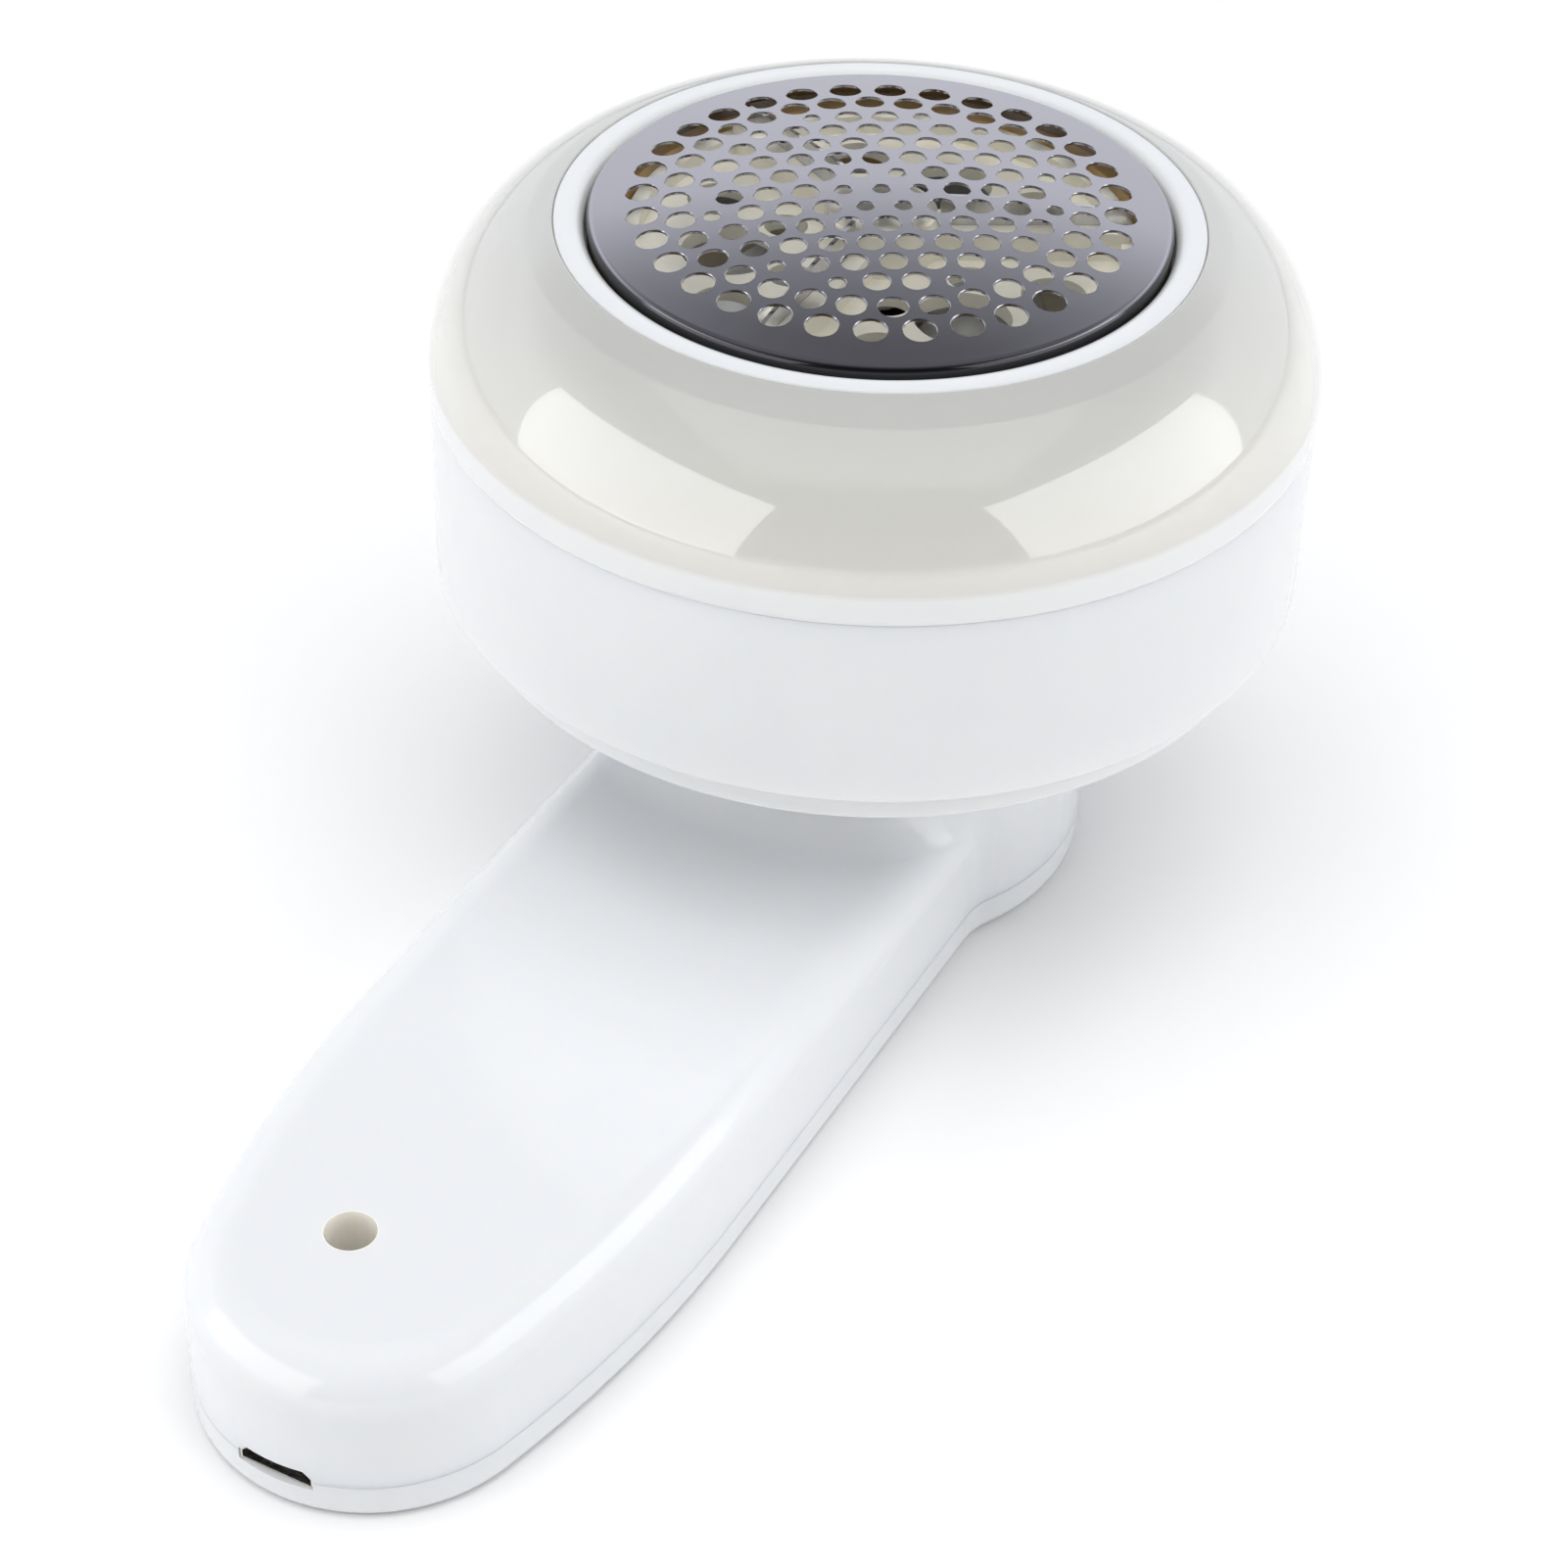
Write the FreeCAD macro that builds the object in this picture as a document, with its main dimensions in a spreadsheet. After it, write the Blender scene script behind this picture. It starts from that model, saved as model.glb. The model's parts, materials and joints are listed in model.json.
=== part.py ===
import FreeCAD, Part
import math
import os
from types import SimpleNamespace
import Sketcher

# A cordless fabric shaver. The Z axis is the axis of the round shaving head, the handle
# reaches along -Y, and the flat back that the shaver rests on is the plane Z = 0.
# Sizes are in millimetres.

document = FreeCAD.newDocument("fabric_shaver")
sheet = document.addObject("Spreadsheet::Sheet", "dims")

DRIVING_SIZES = {
    # handle and neck
    "handle_half_width": 20.9,
    "handle_reach": 113.3,
    "handle_height": 17.5,
    "handle_top_round": 4.8,
    "handle_bottom_round": 1.2,
    "straight_reach": 66.0,
    "tail_radius": 17.0,
    "neck_radius": 24.6,
    "neck_top": 32.5,
    "neck_roof": 2.5,
    "neck_blend": 7.5,
    "shell_wall": 1.6,
    "cover_seam": 4.0,
    "seam_gap": 0.06,
    "lip_top": 6.0,
    "lip_gap": 0.1,
    "lip_wall": 1.0,
    # head
    "band_radius": 44.8,
    "band_wall": 2.2,
    "band_bottom": 36.6,
    "band_round": 0.7,
    "bowl_floor": 2.0,
    "plate_radius": 42.3,
    "plate_wall": 2.0,
    "tower_radius": 17.0,
    "tower_wall": 2.6,
    "tower_top": 64.0,
    "tower_roof": 1.8,
    # lint dome
    "dome_seam": 57.4,
    "dome_gap": 0.25,
    "dome_radius": 45.0,
    "dome_curve": 17.0,
    "dome_curve_height": 58.0,
    "dome_wall": 2.2,
    "collar_inner": 32.15,
    "collar_wall": 2.15,
    "collar_bottom": 64.0,
    "collar_round": 0.5,
    "spigot_bottom": 52.6,
    "spigot_wall": 2.0,
    "spigot_shelf": 59.2,
    "slide_gap": 0.3,
    "seal_height": 54.6,
    "seal_wire": 0.5,
    # foil ring, foil and its seat
    "ring_gap": 0.15,
    "ring_inner": 29.05,
    "ring_top": 74.5,
    "ring_bottom": 64.6,
    "ring_round": 1.3,
    "ring_ledge": 72.3,
    "ring_wall": 1.25,
    "foil_crown": 77.5,
    "foil_edge": 74.9,
    "foil_radius": 28.86,
    "foil_thickness": 0.3,
    "foil_round": 0.7,
    "foil_flange_radius": 30.3,
    "seat_inner": 26.3,
    "seat_bottom": 65.4,
    # foil holes
    "hole_pitch": 3.72,
    "small_hole": 1.7,
    "large_hole": 2.65,
    "inner_circle": 20.05,
    "inner_circle_hole": 2.9,
    "outer_circle": 23.5,
    "outer_circle_hole": 3.2,
    "pattern_turn": 2.0,
    # bayonet between the foil ring and the collar
    "lug_bottom": 66.3,
    "lug_height": 1.4,
    "lug_reach": 1.15,
    "lug_angle": 10.0,
    "ring_twist": 30.0,
    # blade rotor
    "rotor_radius": 25.3,
    "rotor_bottom": 69.0,
    "rotor_web": 1.6,
    "rotor_rim_wall": 1.5,
    "rotor_rim_top": 72.5,
    "arm_width": 4.0,
    "arm_top": 73.6,
    "hub_radius": 5.6,
    "hub_bottom": 68.6,
    "hub_top": 75.2,
    "hub_bore_top": 74.2,
    "blade_thickness": 0.45,
    "blade_slot": 0.5,
    "blade_bottom": 70.6,
    "blade_start": 5.9,
    "blade_end": 25.0,
    "blade_gap": 0.25,
    "cap_top": 76.3,
    # drive
    "shaft_radius": 1.0,
    "shaft_bottom": 30.2,
    "shaft_top": 72.0,
    "bush_clearance": 0.04,
    "coupler_radius": 3.2,
    "coupler_flats": 5.2,
    "coupler_bottom": 64.6,
    "coupler_flange": 0.8,
    "coupler_flange_radius": 4.6,
    "coupler_top": 73.0,
    "coupler_clearance": 0.05,
    "spring_radius": 4.0,
    "spring_wire": 0.25,
    "spring_turns": 3.0,
    # motor
    "motor_radius": 13.85,
    "motor_bottom": 31.0,
    "motor_top": 61.2,
    "can_wall": 1.0,
    "motor_boss_radius": 5.0,
    "motor_boss_top": 62.9,
    "bush_radius": 3.0,
    "end_cap_bottom": 30.0,
    "end_cap_top": 32.8,
    "motor_passage": 14.1,
    "magnet_inner": 10.6,
    "magnet_outer": 12.6,
    "armature_radius": 10.0,
    "stack_bottom": 38.0,
    "stack_top": 54.0,
    "commutator_radius": 3.4,
    "retainer_thickness": 1.8,
    "retainer_radius": 15.6,
    "retainer_opening": 7.0,
    # head screws
    "head_screw_circle": 17.6,
    "head_screw_radius": 1.25,
    "head_screw_top": 41.5,
    "screw_boss": 3.0,
    "boss_top": 44.0,
    # electrical pieces in the handle
    "cell_radius": 7.0,
    "cell_front": 38.0,
    "cell_length": 50.0,
    "cell_height": 8.75,
    "board_thickness": 1.0,
    "switch_board_height": 8.0,
    "charge_board_height": 5.2,
    "charge_board_start": 90.0,
    "charge_board_length": 17.5,
    "charge_board_width": 16.0,
    "usb_width": 7.9,
    "usb_bottom": 3.0,
    "usb_height": 2.2,
    "usb_mouth": 112.7,
    "usb_depth": 7.1,
    "usb_shell": 0.2,
    "usb_fit": 0.1,
    "usb_bevel": 0.9,
    "lead_radius": 0.6,
    # screws at the tail and at the neck
    "well_reach": 96.0,
    "well_offset": -2.3,
    "well_radius": 2.45,
    "well_floor": 8.4,
    "well_wall": 1.4,
    "post_x": 17.3,
    "post_y": 10.0,
    "post_radius": 2.6,
    # power button
    "button_reach": 24.0,
    "button_radius": 6.4,
    "button_face": 0.5,
    "button_flange": 7.4,
    "button_stem": 3.75,
}


class Size:
    """A dimension: its present value and the sheet expression that works it out."""

    def __init__(self, formula, value):
        self.formula = formula
        self.value = value

    def __add__(self, other):
        return Size(f"({self.formula} + {formula_of(other)})", self.value + value_of(other))

    def __sub__(self, other):
        return Size(f"({self.formula} - {formula_of(other)})", self.value - value_of(other))

    def __mul__(self, other):
        return Size(f"({self.formula} * {formula_of(other)})", self.value * value_of(other))

    def __truediv__(self, other):
        return Size(f"({self.formula} / {formula_of(other)})", self.value / value_of(other))

    def __radd__(self, other):
        return Size(f"({other} + {self.formula})", other + self.value)

    def __rsub__(self, other):
        return Size(f"({other} - {self.formula})", other - self.value)

    def __rmul__(self, other):
        return Size(f"({other} * {self.formula})", other * self.value)

    def __neg__(self):
        return 0 - self

    def root(self):
        return Size(f"sqrt({self.formula})", math.sqrt(self.value))


def formula_of(size):
    return size.formula if isinstance(size, Size) else f"({size})"


def value_of(size):
    return size.value if isinstance(size, Size) else size


def fill_sheet():
    """Write every driving size into the sheet and return them as Size values."""
    sizes = SimpleNamespace()
    for row, (alias, value) in enumerate(DRIVING_SIZES.items(), start=1):
        sheet.set(f"A{row}", alias)
        sheet.set(f"B{row}", str(value))
        sheet.setAlias(f"B{row}", alias)
        setattr(sizes, alias, Size(f"dims.{alias}", value))
    return sizes


d = fill_sheet()
document.recompute()


# ---------------------------------------------------------------- modelling helpers

def bind(item, **sizes):
    """Bind properties of a document object to sheet expressions."""
    for name, size in sizes.items():
        setattr(item, name, value_of(size))
        item.setExpression(name, formula_of(size))
    return item


def place(item, x=0, y=0, z=0, turn=0, tilt=0):
    """Place an object: turned about Z by turn degrees, or laid towards -Y by tilt degrees."""
    rotation = FreeCAD.Rotation(FreeCAD.Vector(0, 0, 1), turn)
    if tilt:
        rotation = FreeCAD.Rotation(FreeCAD.Vector(1, 0, 0), tilt)
    item.Placement = FreeCAD.Placement(FreeCAD.Vector(value_of(x), value_of(y), value_of(z)), rotation)
    for axis, size in (("x", x), ("y", y), ("z", z)):
        if isinstance(size, Size):
            item.setExpression(f"Placement.Base.{axis}", size.formula)
    return item


def origin_plane(body, role):
    """One of a body's own origin planes."""
    return next(item for item in body.Origin.OriginFeatures if item.Role == role)


def arc_between(start, end, radius):
    """Arc from start to end, the short way: counter-clockwise, or clockwise if radius < 0."""
    chord = end - start
    left = FreeCAD.Vector(-chord.y, chord.x, 0).normalize()
    rise = math.sqrt(max(radius * radius - chord.Length ** 2 / 4, 0))
    centre = (start + end) * 0.5 + left * math.copysign(rise, radius)
    first, last = (start, end) if radius > 0 else (end, start)
    angles = [math.atan2(point.y - centre.y, point.x - centre.x) for point in (first, last)]
    circle = Part.Circle(centre, FreeCAD.Vector(0, 0, 1), abs(radius))
    return Part.ArcOfCircle(circle, *angles)


def new_sketch(body, plane, height=None):
    """An empty sketch on one of the body's origin planes, height away from it."""
    sketch = body.newObject("Sketcher::SketchObject", body.Name + "_sketch")
    sketch.AttachmentSupport = (origin_plane(body, plane), [""])
    sketch.MapMode = "FlatFace"
    if height is not None:
        sketch.AttachmentOffset.Base.z = value_of(height)
        sketch.setExpression("AttachmentOffset.Base.z", formula_of(height))
    return sketch


def constrain(sketch, kind, *where, size):
    """Add one dimension constraint and bind it to its expression."""
    index = sketch.addConstraint(Sketcher.Constraint(kind, *where, value_of(size)))
    if isinstance(size, Size):
        sketch.setExpression(f"Constraints[{index}]", size.formula)


def outline(body, plane, corners, height=None):
    """Closed sketch through corners given as (x, y) or (x, y, radius).

    A radius bends the edge that leaves its corner: positive turns left, negative right.
    """
    sketch = new_sketch(body, plane, height)
    count = len(corners)
    points = [FreeCAD.Vector(value_of(corner[0]), value_of(corner[1]), 0) for corner in corners]
    radii = [corner[2] if len(corner) > 2 else None for corner in corners]
    begins = []
    for index in range(count):
        start, end = points[index], points[(index + 1) % count]
        if radii[index] is None:
            sketch.addGeometry(Part.LineSegment(start, end))
            begins.append(1)
        else:
            sketch.addGeometry(arc_between(start, end, value_of(radii[index])))
            begins.append(1 if value_of(radii[index]) > 0 else 2)
    for index in range(count):
        following = (index + 1) % count
        sketch.addConstraint(Sketcher.Constraint(
            "Coincident", index, 3 - begins[index], following, begins[following]))
    for index, corner in enumerate(corners):
        constrain(sketch, "DistanceX", -1, 1, index, begins[index], size=corner[0])
        constrain(sketch, "DistanceY", -1, 1, index, begins[index], size=corner[1])
        if radii[index] is not None:
            bend = radii[index] if value_of(radii[index]) > 0 else -radii[index]
            constrain(sketch, "Radius", index, size=bend)
    return sketch


def circle(body, radius, height=None):
    """Sketch of one circle round the body's Z axis."""
    sketch = new_sketch(body, "XY_Plane", height)
    centre = FreeCAD.Vector(0, 0, 0)
    sketch.addGeometry(Part.Circle(centre, FreeCAD.Vector(0, 0, 1), value_of(radius)))
    sketch.addConstraint(Sketcher.Constraint("Coincident", 0, 3, -1, 1))
    constrain(sketch, "Radius", 0, size=radius)
    return sketch


def new_body(name):
    return document.addObject("PartDesign::Body", name)


def pad(body, sketch, length):
    """Pad the sketch away from its plane."""
    feature = body.newObject("PartDesign::Pad", body.Name + "_pad")
    feature.Profile = sketch
    sketch.Visibility = False
    bind(feature, Length=length)
    document.recompute()
    return feature


def revolved(name, corners):
    """Body made by turning an (r, z) outline round the Z axis."""
    body = new_body(name)
    sketch = outline(body, "XZ_Plane", corners)
    feature = body.newObject("PartDesign::Revolution", name + "_revolution")
    feature.Profile = sketch
    feature.ReferenceAxis = (sketch, ["V_Axis"])
    feature.Angle = 360
    document.recompute()
    return body


def round_edges(body, radius, chosen):
    """Fillet the edges of the body's shape that the chosen test picks."""
    base = body.Tip
    names = [f"Edge{index}" for index, edge in enumerate(base.Shape.Edges, start=1) if chosen(edge)]
    feature = body.newObject("PartDesign::Fillet", body.Name + "_fillet")
    feature.Base = (base, names)
    bind(feature, Radius=radius)
    document.recompute()
    return feature


def cylinder(name, radius, bottom, top, x=0, y=0, turn=0, sector=360):
    """Upright cylinder, or a sector of one."""
    item = bind(document.addObject("Part::Cylinder", name), Radius=radius, Height=top - bottom)
    item.Angle = value_of(sector)
    return place(item, x, y, bottom, turn)


def tube(name, inner, outer, bottom, top, x=0, y=0, turn=0, sector=360):
    """Upright tube, or a sector of one."""
    outside = cylinder(name + "_outside", outer, bottom, top, x, y, turn, sector)
    inside = cylinder(name + "_inside", inner, bottom - 1, top + 1, x, y)
    return cut(name, outside, inside)


def box(name, x, y, z, turn=0):
    """Box between two limits on each axis, then turned about the Z axis."""
    item = document.addObject("Part::Box", name)
    bind(item, Length=x[1] - x[0], Width=y[1] - y[0], Height=z[1] - z[0])
    if not turn:
        return place(item, x[0], y[0], z[0])
    corner = FreeCAD.Placement(FreeCAD.Vector(*(value_of(low) for low in (x[0], y[0], z[0]))),
                               FreeCAD.Rotation())
    spin = FreeCAD.Placement(FreeCAD.Vector(), FreeCAD.Rotation(FreeCAD.Vector(0, 0, 1), turn))
    item.Placement = spin.multiply(corner)
    return item


def group(name, items):
    """Separate solids kept together as one object."""
    item = document.addObject("Part::Compound", name)
    item.Links = list(items)
    return item


def fuse(name, *items):
    item = document.addObject("Part::MultiFuse", name)
    item.Shapes = list(items)
    item.Refine = True
    return item


def common(name, first, second):
    item = document.addObject("Part::MultiCommon", name)
    item.Shapes = [first, second]
    return item


def cut(name, base, *tools):
    item = document.addObject("Part::Cut", name)
    item.Base = base
    item.Tool = tools[0] if len(tools) == 1 else group(name + "_tools", tools)
    return item


def polar(radius, angle):
    """Point at a radius and an angle in degrees, as plain numbers."""
    return radius * math.cos(math.radians(angle)), radius * math.sin(math.radians(angle))


def screw(name, x, y, head_radius, head_height, seat, shank_radius, tip):
    """Pan head screw: the head lies beyond its seat, the shank runs from the seat to the tip."""
    side = 1 if value_of(seat) > value_of(tip) else -1
    head_end = seat + side * head_height
    low, high = (seat, head_end) if side > 0 else (head_end, seat)
    head = cylinder(name + "_head", head_radius, low, high, x, y)
    shank_low, shank_high = (tip, seat) if side > 0 else (seat, tip)
    shank = cylinder(name + "_shank", shank_radius, shank_low, shank_high, x, y)
    whole = fuse(name + "_blank", head, shank)
    depth = head_height * 0.6
    recess_low = head_end - depth if side > 0 else head_end - 0.1
    recess_high = head_end + 0.1 if side > 0 else head_end + depth
    long, short = head_radius * 0.55, 0.3
    bars = [
        box(f"{name}_recess_{tag}", (x - reach_x, x + reach_x), (y - reach_y, y + reach_y),
            (recess_low, recess_high))
        for tag, reach_x, reach_y in (("a", long, short), ("b", short, long))
    ]
    return cut(name, whole, *bars)


def lead(points, radius, bend):
    """Round lead along straight runs joined by tangent arcs of one bend radius."""
    points = [FreeCAD.Vector(*point) for point in points]
    edges = []
    start = points[0]
    for before, corner, after in zip(points, points[1:], points[2:]):
        arriving = (corner - before).normalize()
        leaving = (after - corner).normalize()
        half_turn = arriving.getAngle(leaving) / 2
        reach = bend * math.tan(half_turn)
        first, last = corner - arriving * reach, corner + leaving * reach
        inward = (leaving - arriving).normalize()
        middle = corner + inward * (bend / math.cos(half_turn) - bend)
        edges.append(Part.LineSegment(start, first).toShape())
        edges.append(Part.Arc(first, middle, last).toShape())
        start = last
    edges.append(Part.LineSegment(start, points[-1]).toShape())
    path = Part.Wire(edges)
    section = Part.Wire([Part.Circle(points[0], points[1] - points[0], radius).toShape()])
    return path.makePipeShell([section], True, True)


def coded(name, shape):
    """Object whose shape is worked out in code from the sheet's sizes."""
    item = document.addObject("Part::Feature", name)
    item.Shape = shape
    return item


nodes = {}


def keep(item):
    """Register a finished sub-part under its own name."""
    nodes[item.Name] = item
    return item


# ---------------------------------------------------------------- handle and neck shell

def handle_plan(name, inset, bottom, top):
    """The handle's plan, set in by inset: straight sides, long side arcs and a round tail."""
    side = d.handle_half_width - inset
    tail_centre = d.handle_reach - d.tail_radius
    run = tail_centre - d.straight_reach
    full_side = d.handle_half_width
    side_arc = (full_side * full_side + run * run - d.tail_radius * d.tail_radius) / (
        2 * (full_side - d.tail_radius))
    share = (d.tail_radius - inset) / (side_arc - d.tail_radius)
    tangent_x = (side_arc - full_side) * share
    tangent_y = -(tail_centre + run * share)
    body = new_body(name)
    sketch = outline(body, "XY_Plane", [
        (-side, 0),
        (-side, -d.straight_reach, side_arc - inset),
        (-tangent_x, tangent_y, d.tail_radius - inset),
        (tangent_x, tangent_y, side_arc - inset),
        (side, -d.straight_reach),
        (side, 0),
    ], height=bottom)
    pad(body, sketch, top - bottom)
    return body


def is_level(edge, height):
    """True for an edge that lies in the plane at this height."""
    return all(abs(vertex.Z - height) < 1e-4 for vertex in edge.Vertexes) and \
        abs(edge.CenterOfMass.z - height) < 1e-4


def make_handle_form():
    """Outer form of the handle and the neck, as one closed solid."""
    body = handle_plan("handle_form", 0 * d.shell_wall, 0 * d.shell_wall, d.handle_height)
    back = -1e-3
    round_edges(body, d.handle_top_round, lambda edge: is_level(edge, d.handle_height.value)
                and edge.CenterOfMass.y < back)
    pad(body, circle(body, d.neck_radius), d.neck_top)

    def on_neck_side(edge):
        """Where the handle's side and top run into the neck."""
        if is_level(edge, 0) or is_level(edge, d.neck_top.value):
            return False
        first, last = edge.ParameterRange
        samples = [edge.valueAt(first + (last - first) * share) for share in (0.1, 0.5, 0.9)]
        touching = all(abs(math.hypot(point.x, point.y) - d.neck_radius.value) < 1e-3
                       for point in samples)
        return touching and edge.CenterOfMass.y < -5

    round_edges(body, d.neck_blend, on_neck_side)
    round_edges(body, d.handle_bottom_round, lambda edge: is_level(edge, 0))
    return body


def plan_solid(name, inset, bottom, top, neck_top):
    """The shell's plan set in by inset: the handle up to top and the neck up to neck_top."""
    return fuse(name, handle_plan(name + "_handle", inset, bottom, top),
                cylinder(name + "_neck", d.neck_radius - inset, bottom, neck_top))


handle_form = make_handle_form()
cavity_handle = handle_plan("cavity_handle", d.shell_wall, d.shell_wall, d.handle_height - d.shell_wall)
round_edges(cavity_handle, d.handle_top_round - d.shell_wall,
            lambda edge: is_level(edge, (d.handle_height - d.shell_wall).value)
            and edge.CenterOfMass.y < -1e-3)
neck_ceiling = d.neck_top - d.neck_roof
cavity = fuse("cavity", cavity_handle,
              cylinder("cavity_neck", d.neck_radius - d.shell_wall, d.shell_wall, neck_ceiling))


def make_usb_cut():
    """Opening in the tail wall for the charging socket: flat below, bevelled above."""
    body = new_body("usb_cut")
    half = d.usb_width / 2
    top = d.usb_bottom + d.usb_height
    bevel = d.usb_bevel
    sketch = outline(body, "XZ_Plane", [
        (-half, d.usb_bottom),
        (half, d.usb_bottom),
        (half, top - bevel),
        (half - bevel, top),
        (bevel - half, top),
        (-half, top - bevel),
    ], height=d.handle_reach - 6)
    pad(body, sketch, 8)
    return body


usb_cut = make_usb_cut()
HEAD_SCREW_ANGLES = (90, 210, 330)
POST_SIDES = (-1, 1)
head_screw_places = [polar(d.head_screw_circle.value, angle) for angle in HEAD_SCREW_ANGLES]
well_x, well_y = d.well_offset, -d.well_reach


def make_main_housing():
    """Upper shell: handle top and sides, neck, screw well and the posts for the cover."""
    upper = box("upper_half", (-60, 60), (-130, 60), (d.cover_seam, 60))
    shell = cut("housing_shell", common("housing_form", handle_form, upper), cavity)
    boss = cylinder("well_boss", d.well_radius + d.well_wall, d.well_floor - d.well_wall,
                    d.handle_height - 1, well_x, well_y)
    posts = [
        cylinder(f"housing_post_{index}", d.post_radius, d.lip_top + 0.1, neck_ceiling + 0.5,
                 side * d.post_x, d.post_y)
        for index, side in enumerate(POST_SIDES)
    ]
    holes = [
        cylinder("motor_way", d.motor_passage, neck_ceiling - 1, d.neck_top + 1),
        cylinder("well", d.well_radius, d.well_floor, d.handle_height + 1, well_x, well_y),
        cylinder("well_screw_hole", 1.3, d.well_floor - 3, d.well_floor + 1, well_x, well_y),
    ]
    holes += [
        cylinder(f"post_hole_{index}", 1.02, d.lip_top, d.lip_top + 8, side * d.post_x, d.post_y)
        for index, side in enumerate(POST_SIDES)
    ]
    holes += [
        cylinder(f"neck_screw_hole_{index}", 1.4, neck_ceiling - 1, d.neck_top + 1, x, y)
        for index, (x, y) in enumerate(head_screw_places)
    ]
    solid = fuse("housing_solid", shell, boss, *posts)
    return keep(cut("main_housing", solid, usb_cut, *holes))


def make_back_cover():
    """Lower shell: flat back, inner lip, screw posts, cell cradle, and the button's hole."""
    cover_top = d.cover_seam - d.seam_gap
    lower = box("lower_half", (-60, 60), (-130, 60), (-1, cover_top))
    shell = cut("cover_shell", common("cover_form", handle_form, lower), cavity)
    lip_outside = plan_solid("lip_outside", d.shell_wall + d.lip_gap, d.shell_wall, d.lip_top, d.lip_top)
    lip_inset = d.shell_wall + d.lip_gap + d.lip_wall
    lip_inside = plan_solid("lip_inside", lip_inset, d.shell_wall - 1, d.lip_top + 1, d.lip_top + 1)
    lip = cut("cover_lip", lip_outside, lip_inside)
    floor = d.shell_wall - 0.3
    standing = [
        cylinder("well_post", d.well_radius + 0.7, floor, d.well_floor - d.well_wall - 0.1,
                 well_x, well_y)
    ]
    standing += [
        cylinder(f"cover_boss_{index}", d.post_radius, floor, d.lip_top, side * d.post_x, d.post_y)
        for index, side in enumerate(POST_SIDES)
    ]
    standing += [
        cylinder(f"board_post_{index}", 2.0, floor, height, x, y)
        for index, (x, y, height) in enumerate(board_posts)
    ]
    cradle_void = lying_cylinder("cradle_void", d.cell_radius + 0.1, d.cell_front - 5, d.cell_length + 10)
    for index, reach in enumerate((50.0, 76.0)):
        rib = box(f"cradle_rib_{index}", (-10, 10), (-reach - 0.8, -reach + 0.8), (floor, 6.5))
        standing.append(cut(f"cradle_{index}", rib, cradle_void))
    holes = [
        cylinder("button_hole", d.button_radius + d.slide_gap, -1, d.shell_wall + 1, 0, -d.button_reach),
        cylinder("window_hole", 1.2, -1, d.shell_wall + 1, WINDOW_X, WINDOW_Y),
        cylinder("well_post_hole", 1.02, d.shell_wall + 1, d.well_floor, well_x, well_y),
    ]
    holes += [
        cylinder(f"board_post_hole_{index}", 0.82, d.shell_wall + 0.4, height + 1, x, y)
        for index, (x, y, height) in enumerate(board_posts)
    ]
    for index, side in enumerate(POST_SIDES):
        holes.append(cylinder(f"cover_counterbore_{index}", 2.5, -1, 2.0, side * d.post_x, d.post_y))
        holes.append(cylinder(f"cover_screw_hole_{index}", 1.3, 1.5, d.lip_top + 1,
                              side * d.post_x, d.post_y))
    solid = fuse("cover_solid", shell, lip, *standing)
    return keep(cut("back_cover", solid, usb_cut, *holes))


def lying_cylinder(name, radius, start, length):
    """Cylinder along -Y at the cell's height."""
    item = bind(document.addObject("Part::Cylinder", name), Radius=radius, Height=length)
    return place(item, 0, -start, d.cell_height, tilt=90)


WINDOW_X, WINDOW_Y = 5.5, -92.5
board_posts = [
    (8.5, -17.0, d.switch_board_height),
    (-8.5, -31.0, d.switch_board_height),
    (6.0, -103.0, d.charge_board_height),
    (-6.0, -103.0, d.charge_board_height),
]
main_housing = make_main_housing()
back_cover = make_back_cover()


# ---------------------------------------------------------------- head bowl and base plate

def make_base_plate():
    """Shallow pan between the neck and the bowl, with a screw tube over each neck hole."""
    floor_top = d.neck_top + d.plate_wall
    rim_top = d.band_bottom - 0.1
    pan = revolved("base_pan", [
        (d.motor_passage, d.neck_top),
        (d.plate_radius - 0.8, d.neck_top),
        (d.plate_radius, d.neck_top + 0.8),
        (d.plate_radius, rim_top),
        (d.plate_radius - d.plate_wall, rim_top),
        (d.plate_radius - d.plate_wall, floor_top),
        (d.motor_passage, floor_top),
    ])
    tubes = [
        cylinder(f"plate_tube_{index}", d.screw_boss, floor_top - 0.5, rim_top, x, y)
        for index, (x, y) in enumerate(head_screw_places)
    ]
    holes = [
        cylinder(f"plate_hole_{index}", 1.4, d.neck_top - 1, rim_top + 1, x, y)
        for index, (x, y) in enumerate(head_screw_places)
    ]
    passage = cylinder("plate_passage", d.motor_passage, d.neck_top - 1, rim_top + 1)
    return keep(cut("base_plate", fuse("base_solid", pan, *tubes), passage, *holes))


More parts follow.
